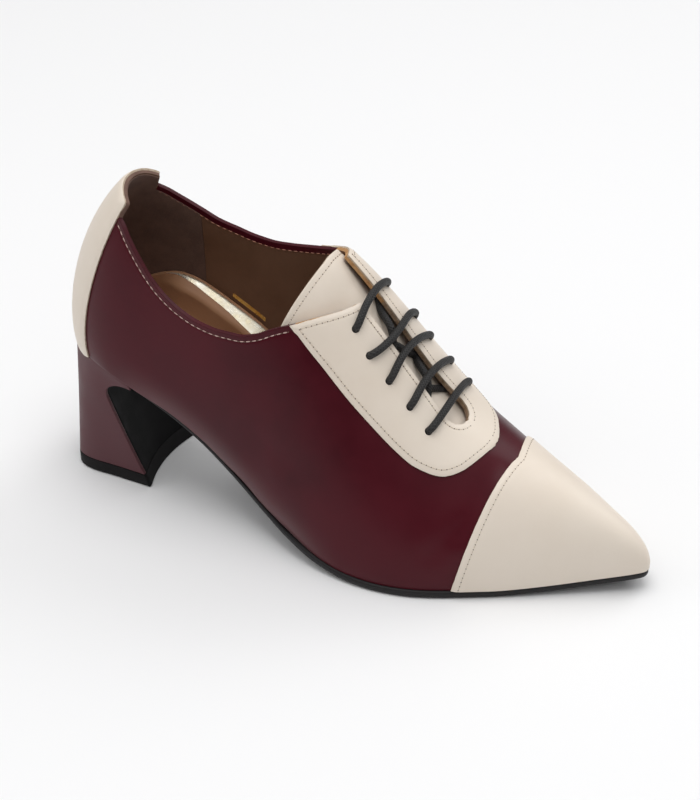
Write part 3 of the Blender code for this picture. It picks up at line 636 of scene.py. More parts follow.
class Bench:
    """Hand tools: adding, shaping and finishing meshes with Blender's own operators."""

    @staticmethod
    def clear_selection() -> None:
        """Deselects everything, so that an operator meets only what is picked next."""
        if bpy.context.mode != "OBJECT":
            bpy.ops.object.mode_set(mode="OBJECT")
        bpy.ops.object.select_all(action="DESELECT")

    @staticmethod
    def pick(*things: Thing) -> None:
        """Selects these objects alone, the first one active.

        Args:
            things: the objects.
        """
        Bench.clear_selection()
        for thing in things:
            thing.select_set(True)
        bpy.context.view_layer.objects.active = things[0]

    @staticmethod
    def sheet(
        name: str, points: Array, fields: Optional[dict[str, Array]] = None, uv: Optional[Array] = None
    ) -> Thing:
        """A grid primitive laid out over rows and columns of points.

        Args:
            name: name of the object.
            points: shoe millimetres, rows by columns by 3.
            fields: point attributes by name, rows by columns.
            uv: pattern coordinates, rows by columns by 2.

        Returns:
            The object, its face normals following columns-across-rows.
        """
        rows, columns = points.shape[:2]
        Bench.clear_selection()
        bpy.ops.mesh.primitive_grid_add(x_subdivisions=columns - 1, y_subdivisions=rows - 1, size=1.0)
        thing = bpy.context.active_object
        thing.name = thing.data.name = name
        mesh = thing.data
        place = np.empty(len(mesh.vertices) * 3)
        mesh.vertices.foreach_get("co", place)
        place = place.reshape(-1, 3)
        column = np.rint((place[:, 0] + 0.5) * (columns - 1)).astype(int)
        row = np.rint((place[:, 1] + 0.5) * (rows - 1)).astype(int)
        mesh.vertices.foreach_set("co", to_frame(points)[row, column].astype(np.float32).ravel())
        for key, values in (fields or {}).items():
            attribute = mesh.attributes.new(key, "FLOAT", "POINT")
            attribute.data.foreach_set("value", np.asarray(values)[row, column].astype(np.float32))
        if uv is not None:
            corner = np.empty(len(mesh.loops), int)
            mesh.loops.foreach_get("vertex_index", corner)
            mesh.uv_layers.active.data.foreach_set("uv", uv[row, column][corner].astype(np.float32).ravel())
        mesh.update()
        return thing

    @staticmethod
    def weld(thing: Thing, distance: float = 0.03) -> None:
        """Merges points closer than a distance in millimetres.

        Args:
            thing: the piece.
            distance: greatest distance that is merged.
        """
        Bench.pick(thing)
        bpy.ops.object.mode_set(mode="EDIT")
        bpy.ops.mesh.select_all(action="SELECT")
        bpy.ops.mesh.remove_doubles(threshold=distance * MM)
        bpy.ops.mesh.dissolve_degenerate(threshold=0.002 * MM)
        bpy.ops.object.mode_set(mode="OBJECT")

    @staticmethod
    def cap(thing: Thing) -> None:
        """Fills every open loop with a face and turns all faces outwards.

        Args:
            thing: the piece.
        """
        Bench.pick(thing)
        bpy.ops.object.mode_set(mode="EDIT")
        bpy.ops.mesh.select_mode(type="EDGE")
        bpy.ops.mesh.select_all(action="DESELECT")
        bpy.ops.mesh.select_non_manifold(
            extend=False, use_wire=False, use_multi_face=False, use_non_contiguous=False, use_verts=False
        )
        bpy.ops.mesh.edge_face_add()
        bpy.ops.mesh.select_all(action="SELECT")
        bpy.ops.mesh.normals_make_consistent(inside=False)
        bpy.ops.mesh.select_mode(type="VERT")
        bpy.ops.object.mode_set(mode="OBJECT")

    @staticmethod
    def join(name: str, things: Sequence[Thing]) -> Thing:
        """Joins objects into the first and names it.

        Args:
            name: name of the joined piece.
            things: the objects.

        Returns:
            The joined piece.
        """
        Bench.pick(*things)
        if len(things) > 1:
            bpy.ops.object.join()
        joined = bpy.context.view_layer.objects.active
        joined.name = joined.data.name = name
        return joined

    @staticmethod
    def apply(thing: Thing, kind: str, **settings: object) -> None:
        """Adds a modifier with these settings and applies it.

        Args:
            thing: the piece.
            kind: modifier type.
            settings: modifier properties.
        """
        Bench.pick(thing)
        modifier = thing.modifiers.new(kind.lower(), kind)
        for key, value in settings.items():
            setattr(modifier, key, value)
        bpy.ops.object.modifier_apply(modifier=modifier.name)

    @staticmethod
    def wall(
        thing: Thing, thickness: float, inward: bool, inner: int = 0, rim: int = 0, even: bool = True
    ) -> None:
        """Gives a sheet its thickness, in millimetres.

        Args:
            thing: the sheet.
            thickness: wall in millimetres.
            inward: whether the wall grows against the sheet's normals.
            inner: material slots to move on for the far side.
            rim: material slots to move on for the edge.
            even: whether the wall is kept even at sharp turns.
        """
        Bench.apply(
            thing, "SOLIDIFY", thickness=thickness * MM, offset=-1.0 if inward else 1.0, use_even_offset=even,
            use_rim=True, material_offset=inner, material_offset_rim=rim,
        )

    @staticmethod
    def soften(thing: Thing, width: float, segments: int = 2, angle: float = 50.0) -> None:
        """Rounds sharp edges by a width in millimetres.

        Args:
            thing: the piece.
            width: width of the rounding.
            segments: steps across it.
            angle: edges sharper than this, in degrees, are rounded.
        """
        Bench.apply(
            thing, "BEVEL", width=width * MM, segments=segments, limit_method="ANGLE",
            angle_limit=math.radians(angle), use_clamp_overlap=True, miter_outer="MITER_ARC",
        )

    @staticmethod
    def settle(
        thing: Thing, angle: float, slot: Optional[str] = None, stands_for: Optional[str] = None
    ) -> Thing:
        """Shades a finished piece and hands it to the frame.

        Args:
            thing: the piece.
            angle: edges sharper than this, in degrees, stay sharp.
            slot: name of a material slot; not used.
            stands_for: the CAD node that it replaces.

        Returns:
            The piece.
        """
        Bench.pick(thing)
        bpy.ops.object.shade_smooth_by_angle(angle=math.radians(angle), keep_sharp_edges=False)
        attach(thing, BODY)
        if stands_for:
            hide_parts(stands_for)
        LOG.info("%s: %d faces", thing.name, len(thing.data.polygons))
        return thing


class NodeSheet:
    """Lays out the nodes of one material or node group."""

    def __init__(self, tree: Tree) -> None:
        """Takes the tree to fill."""
        self.tree = tree

    def add(self, kind: str, props: Optional[dict[str, object]] = None, **sockets: object) -> Node:
        """Adds a node.

        Args:
            kind: node type.
            props: node properties.
            sockets: input values by name with underscores for spaces; an output socket is linked.

        Returns:
            The node.
        """
        node = self.tree.nodes.new(kind)
        for key, value in (props or {}).items():
            setattr(node, key, value)
        self.fill(node, **sockets)
        return node

    def fill(self, node: Node, **sockets: object) -> None:
        """Feeds inputs of a node, named with underscores for spaces."""
        for key, value in sockets.items():
            self.feed(node.inputs[key.replace("_", " ")], value)

    def noise(
        self, where: Socket, scale: object, detail: float, roughness: float = 0.5
    ) -> Node:
        """A noise texture at these coordinates."""
        return self.add("ShaderNodeTexNoise", Vector=where, Scale=scale, Detail=detail, Roughness=roughness)

    def effect(self, tree: Tree, **sockets: object) -> Node:
        """A node that uses one of the shared effects."""
        return self.add("ShaderNodeGroup", {"node_tree": tree}, **sockets)

    def scaled(self, value: object, factor: float) -> Socket:
        """A value multiplied by a factor."""
        return self.sums("MULTIPLY", value, factor)

    def feed(self, socket: Socket, value: object) -> None:
        """Links an output to a socket, or sets the socket's value.

        Args:
            socket: the input.
            value: an output, a colour or a number.
        """
        if isinstance(value, Socket):
            self.tree.links.new(value, socket)
        elif isinstance(value, tuple) and len(value) == 3 and socket.type == "RGBA":
            socket.default_value = (*value, 1.0)
        else:
            socket.default_value = value

    def sums(self, operation: str, first: object, second: object) -> Socket:
        """Result of one operation on two numbers or outputs.

        Args:
            operation: name of the operation.
            first: number or output.
            second: number or output.

        Returns:
            The result.
        """
        node = self.add("ShaderNodeMath", {"operation": operation})
        self.feed(node.inputs[0], first)
        self.feed(node.inputs[1], second)
        return node.outputs[0]

    def remap(
        self, value: object, low: float, high: float, to_low: float = 0.0, to_high: float = 1.0
    ) -> Socket:
        """A value moved from one range to another, clamped.

        Args:
            value: number or output.
            low: start of its range.
            high: end of its range.
            to_low: start of the new range.
            to_high: end of the new range.

        Returns:
            The moved value.
        """
        node = self.add(
            "ShaderNodeMapRange", {"clamp": True},
            Value=value, From_Min=low, From_Max=high, To_Min=to_low, To_Max=to_high,
        )
        return node.outputs["Result"]

    def mix(self, factor: object, first: object, second: object) -> Socket:
        """Two colours mixed by a factor.

        Args:
            factor: 0 for the first, 1 for the second.
            first: colour or output.
            second: colour or output.

        Returns:
            The mixed colour.
        """
        node = self.add("ShaderNodeMix", {"data_type": "RGBA"})
        self.feed(node.inputs[0], factor)
        self.feed(node.inputs[6], first)
        self.feed(node.inputs[7], second)
        return node.outputs[2]


class Effects:
    """Shared surface effects, each a node group made once."""

    @staticmethod
    def group(
        name: str, inputs: dict[str, float], outputs: Sequence[str]
    ) -> tuple[NodeSheet, Node, Node, Socket]:
        """Starts a node group with number inputs and outputs.

        Args:
            name: name of the group.
            inputs: input names with their first values.
            outputs: output names.

        Returns:
            The group's sheet, its input node, its output node and the object's own coordinates.
        """
        tree = bpy.data.node_groups.new(name, "ShaderNodeTree")
        for key, value in inputs.items():
            socket = tree.interface.new_socket(key, in_out="INPUT", socket_type="NodeSocketFloat")
            socket.default_value = value
        for key in outputs:
            tree.interface.new_socket(key, in_out="OUTPUT", socket_type="NodeSocketFloat")
        sheet = NodeSheet(tree)
        given, out = sheet.add("NodeGroupInput"), sheet.add("NodeGroupOutput")
        return sheet, given, out, sheet.add("ShaderNodeTexCoord").outputs["Object"]

    @staticmethod
    @cache
    def hide_grain() -> Tree:
        """Leather: cloudy tone, a slow drift of tone, and a height of fine cells and pores.

        Returns:
            The node group.
        """
        sheet, given, out, where = Effects.group(
            "hide_grain", {"Cloud": 70.0, "Cell": 900.0}, ("Tone", "Drift", "Height")
        )
        wide, small = given.outputs["Cloud"], given.outputs["Cell"]
        cloud = sheet.noise(where, wide, 4.0, 0.6)
        drift = sheet.noise(where, sheet.scaled(wide, 0.27), 2.0)
        warp = sheet.noise(where, 300.0, 1.0)
        bent = sheet.add("ShaderNodeVectorMath", {"operation": "MULTIPLY_ADD"})
        for socket, value in zip(bent.inputs, (warp.outputs["Color"], (0.0012, 0.0012, 0.0012), where)):
            sheet.feed(socket, value)
        kind = {"feature": "SMOOTH_F1"}
        cells = sheet.add("ShaderNodeTexVoronoi", kind, Vector=bent.outputs[0], Scale=small)
        pores = sheet.noise(where, sheet.scaled(small, 1.9), 2.0)
        coarse, fine = sheet.scaled(cells.outputs["Distance"], 0.8), sheet.scaled(pores.outputs["Fac"], 0.5)
        sheet.fill(
            out,
            Tone=sheet.remap(cloud.outputs["Fac"], 0.32, 0.68),
            Drift=sheet.remap(drift.outputs["Fac"], 0.35, 0.65),
            Height=sheet.sums("ADD", coarse, fine),
        )
        return sheet.tree

    @staticmethod
    @cache
    def worn_edge() -> Tree:
        """Mask that is strong along a piece's cut edges and breaks up unevenly.

        Returns:
            The node group.
        """
        sheet, given, out, where = Effects.group("worn_edge", {"Reach": 0.5}, ("Mask",))
        near = sheet.add("ShaderNodeAttribute", {"attribute_name": RIM_FIELD}).outputs["Fac"]
        ragged = sheet.sums("MULTIPLY_ADD", sheet.noise(where, 900.0, 3.0, 0.7).outputs["Fac"], 0.45)
        ragged.node.inputs[2].default_value = -0.22
        raised = sheet.sums("ADD", near, ragged)
        opened = sheet.sums("SUBTRACT", raised, sheet.sums("SUBTRACT", 1.0, given.outputs["Reach"]))
        sheet.fill(out, Mask=sheet.remap(opened, 0.0, 0.3))
        return sheet.tree

    @staticmethod
    @cache
    def nap() -> Tree:
        """Suede: brushed light and dark patches, and a height of short fibres.

        Returns:
            The node group.
        """
        sheet, given, out, where = Effects.group(
            "nap", {"Patch": 90.0, "Fibre": 2600.0}, ("Brush", "Fleck", "Height")
        )
        brush = sheet.noise(where, given.outputs["Patch"], 5.0, 0.65).outputs["Fac"]
        fleck = sheet.noise(where, given.outputs["Fibre"], 3.0, 0.8).outputs["Fac"]
        sheet.fill(out, Brush=sheet.remap(brush, 0.3, 0.7), Fleck=sheet.remap(fleck, 0.35, 0.65))
        sheet.fill(out, Height=fleck)
        return sheet.tree


@dataclass(frozen=True)
class Finish:
    """What every finish has: a name and the start of its material."""

    name: str

    def begin(self) -> tuple[Material, NodeSheet, Node]:
        """Starts the material.

        Returns:
            The material, a sheet over its nodes and its Principled shader.
        """
        material = bpy.data.materials.new(self.name)
        material.use_nodes = True
        sheet = NodeSheet(material.node_tree)
        return material, sheet, material.node_tree.nodes["Principled BSDF"]

    @cache
    def material(self) -> Material:
        """The finish's material, made on first use."""
        return self.make()

    def make(self) -> Material:
        """Builds the material; each kind of finish has its own."""
        raise NotImplementedError

    @staticmethod
    def bump(
        sheet: NodeSheet, shader: Node, height: Socket, depth: float, strength: float
    ) -> None:
        """Feeds a height, of a depth in millimetres, to the shader's normal."""
        node = sheet.add("ShaderNodeBump", Strength=strength, Distance=depth * MM, Height=height)
        sheet.feed(shader.inputs["Normal"], node.outputs["Normal"])


@dataclass(frozen=True)
class Leather(Finish):
    """Smooth leather with cloudy tone, drift, fine grain, toned edges and an optional painted sheen toward
    its foot.
    """

    deep: Colour
    body: Colour
    light: Colour
    edge: Colour
    gloss: tuple[float, float]
    coat: float = 0.0
    coat_roughness: float = 0.2
    specular: float = 0.5
    cloud: float = 70.0
    cell: float = 900.0
    grain: float = 0.05
    edge_reach: float = 0.4
    sheen: float = 0.0
    # foot: colour of a painted sheen, lighter and greyer, blended in where the leather rolls in near the
    # feather edge
    foot: Optional[Colour] = None

    def make(self) -> Material:
        """Mixes three tones by cloud and drift, paints a sheen near the foot where there is one, tones the
        edges and adds the grain.

        Returns:
            The material.
        """
        material, sheet, shader = self.begin()
        hide = sheet.effect(Effects.hide_grain(), Cloud=self.cloud, Cell=self.cell)
        worn = sheet.effect(Effects.worn_edge(), Reach=self.edge_reach).outputs["Mask"]
        tone = sheet.mix(hide.outputs["Tone"], self.deep, self.body)
        tone = sheet.mix(sheet.scaled(hide.outputs["Drift"], 0.6), tone, self.light)
        # painted sheen: a lighter, greyer tone blended in by the roll field, standing in for reflected floor
        # light
        if self.foot:
            sheen_paint_mask = sheet.add("ShaderNodeAttribute", {"attribute_name": ROLL_FIELD}).outputs["Fac"]
            tone = sheet.mix(sheet.remap(sheen_paint_mask, 0.0, 1.0), tone, self.foot)
        rough = sheet.remap(hide.outputs["Tone"], 0.0, 1.0, *self.gloss)
        sheet.fill(
            shader,
            Base_Color=sheet.mix(worn, tone, self.edge),
            Roughness=sheet.sums("ADD", rough, sheet.scaled(worn, 0.15)),
            Specular_IOR_Level=self.specular,
            Sheen_Weight=self.sheen,
            Sheen_Roughness=0.35,
            Coat_Weight=self.coat,
            Coat_Roughness=self.coat_roughness,
        )
        self.bump(sheet, shader, hide.outputs["Height"], self.grain, 0.5)
        return material


@dataclass(frozen=True)
class Suede(Finish):
    """Napped leather with brushed patches and sheen."""

    dark: Colour
    body: Colour
    sheen: float = 0.1

    def make(self) -> Material:
        """Mixes the nap's tones and gives it a soft sheen.

        Returns:
            The material.
        """
        material, sheet, shader = self.begin()
        nap = sheet.effect(Effects.nap())
        tone = sheet.mix(nap.outputs["Brush"], self.dark, self.body)
        bright = tuple(1.5 * c for c in self.body)
        sheet.fill(
            shader,
            Base_Color=sheet.mix(sheet.scaled(nap.outputs["Fleck"], 0.35), tone, bright),
            Roughness=sheet.remap(nap.outputs["Brush"], 0.0, 1.0, 0.95, 0.82),
            Sheen_Weight=self.sheen,
            Sheen_Roughness=0.4,
        )
        self.bump(sheet, shader, nap.outputs["Height"], 0.12, 0.6)
        return material


@dataclass(frozen=True)
class RawEdge(Finish):
    """Cut leather edge: pressed fibre layers, lighter and darker."""

    dark: Colour
    light: Colour

    def make(self) -> Material:
        """Layers two tones with broken fibres.

        Returns:
            The material.
        """
        material, sheet, shader = self.begin()
        nap = sheet.effect(Effects.nap(), Patch=650.0, Fibre=3200.0)
        tone = sheet.mix(nap.outputs["Brush"], self.dark, self.light)
        sheet.fill(
            shader,
            Base_Color=sheet.mix(sheet.scaled(nap.outputs["Fleck"], 0.4), tone, self.dark),
            Roughness=sheet.remap(nap.outputs["Fleck"], 0.0, 1.0, 0.75, 0.95),
        )
        self.bump(sheet, shader, nap.outputs["Height"], 0.2, 0.7)
        return material


@dataclass(frozen=True)
class Rubber(Finish):
    """Moulded or dressed black sole edge, with fine dust and a faint texture."""

    body: Colour
    dusty: Colour
    gloss: tuple[float, float] = (0.42, 0.62)
    specular: float = 0.5

    def make(self) -> Material:
        """Mixes dust over the body and adds the moulded texture.

        Returns:
            The material.
        """
        material, sheet, shader = self.begin()
        hide = sheet.effect(Effects.hide_grain(), Cloud=120.0, Cell=1500.0)
        sheet.fill(
            shader,
            Base_Color=sheet.mix(sheet.scaled(hide.outputs["Tone"], 0.5), self.body, self.dusty),
            Roughness=sheet.remap(hide.outputs["Tone"], 0.0, 1.0, *self.gloss),
            Specular_IOR_Level=self.specular,
        )
        self.bump(sheet, shader, hide.outputs["Height"], 0.04, 0.4)
        return material


@dataclass(frozen=True)
class Foil(Finish):
    """Metallic foil pressed on leather, finely crinkled and rubbed."""

    body: Colour
    rubbed: Colour
    metal: float = 0.85

    def make(self) -> Material:
        """A metal whose roughness and tone vary with the crinkle.

        Returns:
            The material.
        """
        material, sheet, shader = self.begin()
        hide = sheet.effect(Effects.hide_grain(), Cloud=260.0, Cell=700.0)
        sheet.fill(
            shader,
            Base_Color=sheet.mix(hide.outputs["Tone"], self.body, self.rubbed),
            Roughness=sheet.remap(hide.outputs["Drift"], 0.0, 1.0, 0.24, 0.42),
            Metallic=self.metal,
        )
        self.bump(sheet, shader, hide.outputs["Height"], 0.08, 0.6)
        return material


@dataclass(frozen=True)
class Cord(Finish):
    """Waxed round cord: a fine braid that follows the cord, with wax and a painted highlight on its crowns.
    """

    dark: Colour
    wax_and_highlight: Colour
    strands: float = 6.0
    slant: float = 5.2

    def make(self) -> Material:
        """Two families of slanting strands over the cord's own coordinates, in millimetres and turns.

        Returns:
            The material.
        """
        material, sheet, shader = self.begin()
        place = sheet.add("ShaderNodeSeparateXYZ", Vector=sheet.add("ShaderNodeUVMap").outputs["UV"])
        slant = sheet.scaled(place.outputs["X"], self.slant)
        turn = sheet.scaled(place.outputs["Y"], 2 * math.pi * self.strands)
        families = [sheet.sums("SINE", sheet.sums(way, slant, turn), 0.0) for way in ("ADD", "SUBTRACT")]
        braid = sheet.sums("MAXIMUM", *families)
        hide = sheet.effect(Effects.hide_grain(), Cloud=380.0, Cell=2200.0)
        waxed = sheet.remap(hide.outputs["Tone"], 0.0, 1.0, 0.25, 0.8)
        # the braid's crowns are painted lighter: partly wax, partly painted highlight
        worn = sheet.sums("MULTIPLY", sheet.remap(braid, -0.2, 1.0), waxed)
        sheet.fill(
            shader,
            Base_Color=sheet.mix(worn, self.dark, self.wax_and_highlight),
            Roughness=sheet.remap(hide.outputs["Tone"], 0.0, 1.0, 0.48, 0.7),
        )
        height = sheet.sums("ADD", sheet.scaled(braid, 0.5), sheet.scaled(hide.outputs["Height"], 0.6))
        self.bump(sheet, shader, height, 0.28, 0.8)
        return material


@dataclass(frozen=True)
class Thread(Finish):
    """Sewing thread, faintly twisted and shaded."""

    body: Colour
    shade: Colour

    def make(self) -> Material:
        """Fibres in two tones.

        Returns:
            The material.
        """
        material, sheet, shader = self.begin()
        nap = sheet.effect(Effects.nap(), Patch=900.0, Fibre=5000.0)
        sheet.fill(
            shader,
            Base_Color=sheet.mix(nap.outputs["Brush"], self.shade, self.body),
            Roughness=sheet.remap(nap.outputs["Fleck"], 0.0, 1.0, 0.6, 0.8),
        )
        self.bump(sheet, shader, nap.outputs["Height"], 0.06, 0.5)
        return material


class Finishes(Enum):
    """Every finish on the shoe."""

    BURGUNDY = Leather(
        "burgundy_polished",
        (0.050, 0.0024, 0.0068), (0.066, 0.0036, 0.0092), (0.084, 0.0060, 0.0126), (0.050, 0.0040, 0.0080),
        # foot: painted sheen along the lower side, standing in for the floor's reflection
        (0.28, 0.38), specular=0.17, sheen=0.1, foot=(0.135, 0.056, 0.062), cloud=55.0, cell=1300.0,
        grain=0.02, edge_reach=0.35,
    )
    CREAM = Leather(
        "cream_smooth",
        (0.780, 0.678, 0.570), (0.812, 0.716, 0.612), (0.845, 0.757, 0.656), (0.60, 0.50, 0.38),
        (0.42, 0.52), coat=0.06, coat_roughness=0.35, cloud=60.0, cell=1100.0, grain=0.03, edge_reach=0.30,
    )
    HEEL_WRAP = Leather(
        "heel_wrap_matt",
        (0.078, 0.020, 0.026), (0.094, 0.027, 0.034), (0.110, 0.036, 0.043), (0.055, 0.012, 0.016),
        (0.46, 0.58), specular=0.35, cell=1400.0, grain=0.03,
    )
    LINING = Leather(
        "lining_leather",
        (0.165, 0.080, 0.042), (0.215, 0.108, 0.060), (0.260, 0.136, 0.080), (0.16, 0.10, 0.06),
        (0.55, 0.68), cloud=80.0, cell=1000.0,
    )
    FOOTBED = Leather(
        "footbed_leather",
        (0.38, 0.186, 0.095), (0.445, 0.230, 0.122), (0.49, 0.272, 0.153), (0.30, 0.17, 0.08),
        (0.50, 0.62), cloud=60.0, cell=1000.0,
    )
    COUNTER_SUEDE = Suede("counter_suede", (0.105, 0.058, 0.044), (0.180, 0.104, 0.076))
    # raw cut edge at the back of the slot: its own orange-brown, painted lighter as light falling on it;
    # FACING_EDGE, further forward, is the same cut edge in a darker tone
    RAW_EDGE = RawEdge("raw_edge_with_painted_light", (0.36, 0.17, 0.06), (0.62, 0.38, 0.18))
    FACING_EDGE = RawEdge("facing_cut_edge", (0.16, 0.09, 0.05), (0.40, 0.28, 0.18))
    CREAM_EDGE = RawEdge("cream_cut_edge", (0.42, 0.31, 0.21), (0.72, 0.63, 0.52))
    SOLE = Rubber("sole_black", (0.0075, 0.0064, 0.007), (0.026, 0.0235, 0.0245), (0.42, 0.62), 0.3)
    LIFT = Rubber("lift_black", (0.0065, 0.0058, 0.0062), (0.020, 0.018, 0.019), (0.55, 0.7), 0.14)
    BREAST = Rubber("breast_black", (0.0026, 0.0024, 0.0028), (0.0055, 0.005, 0.0056), (0.5, 0.65), 0.1)
    # champagne band: its light tone is partly the foil's own colour and partly a painted reflection, brighter
    # than its metal reflects
    CHAMPAGNE = Foil("champagne_foil", (0.93, 0.82, 0.58), (1.0, 0.96, 0.84), 0.75)
    GOLD = Foil("gold_foil", (0.80, 0.46, 0.08), (0.98, 0.70, 0.24), 0.6)
    # cord: its lighter tone on the braid's crowns is partly wax, partly painted highlight
    CORD = Cord("waxed_cord_black", (0.0035, 0.0032, 0.0034), (0.034, 0.031, 0.031))
    BEIGE_THREAD = Thread("beige_thread", (0.68, 0.50, 0.44), (0.48, 0.32, 0.28))
    BROWN_THREAD = Thread("brown_thread", (0.58, 0.27, 0.19), (0.40, 0.17, 0.11))
    CREAM_THREAD = Thread("cream_thread", (0.74, 0.65, 0.53), (0.58, 0.48, 0.37))
    # needle holes: dark discs whose colour is the painted shade inside the holes
    PIN_HOLE = Rubber("needle_hole_shade", (0.13, 0.085, 0.06), (0.20, 0.135, 0.10), (0.8, 0.9))


def dress(thing: Thing, *finishes: Finishes) -> None:
    """Replaces a piece's material slots by these finishes, in order.

    Args:
        thing: the piece.
        finishes: one for each slot.
    """
    thing.data.materials.clear()
    for finish in finishes:
        thing.data.materials.append(finish.value.material())


def cream_overlay(thing: Thing) -> None:
    """Gives a sheet the finish, the wall and the softened cut edge of a cream overlay.

    Args:
        thing: the sheet.
    """
    dress(thing, Finishes.CREAM, Finishes.CREAM_EDGE)
    Bench.wall(thing, OVERLAY_WALL, inward=False, rim=1, even=False)
    Bench.soften(thing, 0.25)


def film(name: str, points: Array, finish: Finishes, wall: float) -> Thing:
    """A thin piece of one finish that lies on another piece and stands for no CAD node.

    Args:
        name: name of the piece.
        points: shoe millimetres, rows by columns by 3.
        finish: its finish.
        wall: its thickness in millimetres.

    Returns:
        The piece.
    """
    thing = Bench.sheet(name, points)
    dress(thing, finish)
    Bench.wall(thing, wall, inward=False)
    return Bench.settle(thing, 60)


@dataclass(frozen=True)
class Crease:
    """One soft trough along a line over the last, with a low ridge each side."""

    line: Sequence[tuple[float, float]]
    depth: float
    width: float
    ridge: float = 0.35
    ridge_at: float = 2.2
    ridge_width: float = 0.9

    def relief(self, points: Array) -> Array:
        """Offsets in millimetres at points of the surface.

        Args:
            points: shoe millimetres.

        Returns:
            One offset for each point.
        """
        x, y = np.array(self.line, float).T
        p, t = LAST.spread_at(x, y)
        track = resample(LAST.point(p, t), 1.0)
        d = nearest(points, track) / self.width
        ridge = self.ridge * np.exp(-0.5 * ((d - self.ridge_at) / self.ridge_width) ** 2)
        return -self.depth * (np.exp(-0.5 * d**2) - ridge)


VAMP_CREASES = (
    Crease(((186, -30), (189, -22), (190.5, -12)), 0.35, 3.2),
    Crease(((176, -38), (181, -33), (185, -29)), 0.30, 3.0),
    Crease(((92, -32), (104, -34), (118, -37)), 0.35, 5.5),
    Crease(((58, -29.5), (70, -29.8), (84, -31)), 0.30, 6.0),
)


def relief_at(points: Array) -> Array:
    """Soft creases of the upper at points of the surface, in millimetres."""
    return sum(crease.relief(points) for crease in VAMP_CREASES)


def border_lines(*runs: Array) -> Array:
    """Points close together along the edges of a sheet."""
    return np.concatenate([resample(run, 0.6) for run in runs])


def rim_field(distance: Array, reach: float = RIM_REACH) -> Array:
    """Nearness to a cut edge, 1 at the edge."""
    return np.exp(-distance / reach)


def inset(line: Array, normals: Array, amount: float) -> Array:
    """A line moved over the surface to the left of its run, seen from outside."""
    return line + amount * unit(np.cross(normals, tangents(line)))


@dataclass
class Seam:
    """One row of stitches, with a needle hole at each end of every stitch."""

    name: str
    thread: Finishes
    pitch: float = 2.6
    length: float = 1.8
    radius: float = 0.24
    lift: float = 0.05
    hole: float = 0.0
    blunt: float = 0.7
    flat: float = 0.8

    def template(self) -> tuple[Array, list[tuple[int, ...]]]:
        """One stitch from a stretched ball: its points in millimetres, along x with z up, and its faces.

        Returns:
            The points and the faces.
        """
        Bench.clear_selection()
        bpy.ops.mesh.primitive_uv_sphere_add(segments=8, ring_count=6, radius=1.0)
        ball = bpy.context.active_object
        points = np.array([v.co[:] for v in ball.data.vertices])[:, [2, 0, 1]]
        faces = [tuple(f.vertices) for f in ball.data.polygons]
        bpy.data.objects.remove(ball, do_unlink=True)
        reach = np.sign(points[:, 0]) * np.abs(points[:, 0]) ** self.blunt
        high = self.flat * self.radius * (points[:, 2] - reach**4)
        return np.column_stack([0.5 * self.length * reach, self.radius * points[:, 1], high]), faces

    def build(self, runs: Sequence[tuple[Array, Array]]) -> list[Thing]:
        """Sews along each run.

        Args:
            runs: lines of points with their outward normals, in shoe millimetres.

        Returns:
            The row of stitches, and the row of needle holes where it has them.
        """
        shape, faces = self.template()
        points, polygons, spots = [], [], []
        for line, normals in runs:
            even = resample(np.concatenate([line, normals], axis=1), self.pitch)
            place, up = even[:, :3], unit(even[:, 3:])
            middle, out = 0.5 * (place[1:] + place[:-1]), unit(up[1:] + up[:-1])
            ahead = unit(place[1:] - place[:-1])
            across = unit(np.cross(out, ahead))
            out = np.cross(ahead, across)
            for c, a, s, o in zip(middle, ahead, across, out):
                start = sum(len(block) for block in points)
                points.append(c + self.lift * o + shape[:, :1] * a + shape[:, 1:2] * s + shape[:, 2:] * o)
                polygons += [tuple(start + v for v in f) for f in faces]
            spots.append((place, up))
        made = [self.row(self.name, np.concatenate(points), polygons, self.thread)]
        if self.hole:
            made.append(self.holes(spots))
        return made

    def row(self, name: str, points: Array, faces: list[tuple[int, ...]], finish: Finishes) -> Thing:
        """One mesh of many small copies.

        Args:
            name: name of the mesh.
            points: shoe millimetres.
            faces: point numbers of each face.
            finish: its finish.

        Returns:
            The piece.
        """
        mesh = bpy.data.meshes.new(name)
        mesh.from_pydata(to_frame(points).tolist(), [], faces)
        thing = bpy.data.objects.new(name, mesh)
        bpy.context.scene.collection.objects.link(thing)
        dress(thing, finish)
        return Bench.settle(thing, 80)

    def holes(self, spots: Sequence[tuple[Array, Array]]) -> Thing:
        """Needle holes as small dished discs that lie on the leather, their dark colour painted shade of the
        holes.

        Args:
            spots: places and outward normals, for each run.

        Returns:
            The piece.
        """
        sides = 8
        ring = np.linspace(0, 2 * math.pi, sides + 1)[:-1]
        points, faces = [], []
        for place, up in spots:
            side = unit(np.cross(up, np.array([0.31, 0.2, 0.93])))
            over = np.cross(up, side)
            for c, u, s, o in zip(place, up, side, over):
                start = sum(len(block) for block in points)
                circle = c + self.hole * (np.cos(ring)[:, None] * s + np.sin(ring)[:, None] * o)
                points.append(np.vstack([circle + 0.05 * u, circle - 0.3 * u, c + 0.09 * u]))
                for k in range(sides):
                    n = (k + 1) % sides
                    faces.append((start + k, start + n, start + 2 * sides))
                    faces.append((start + n, start + k, start + sides + k, start + sides + n))
                faces.append(tuple(start + sides + k for k in reversed(range(sides))))
        # the discs' dark colour is painted shade
        return self.row(self.name + "_holes", np.concatenate(points), faces, Finishes.PIN_HOLE)


def cream_seam(name: str) -> Seam:
    """A row of small cream stitches with needle holes."""
    return Seam(name, Finishes.CREAM_THREAD, pitch=2.1, length=1.5, radius=0.17, lift=-0.02, hole=0.24)


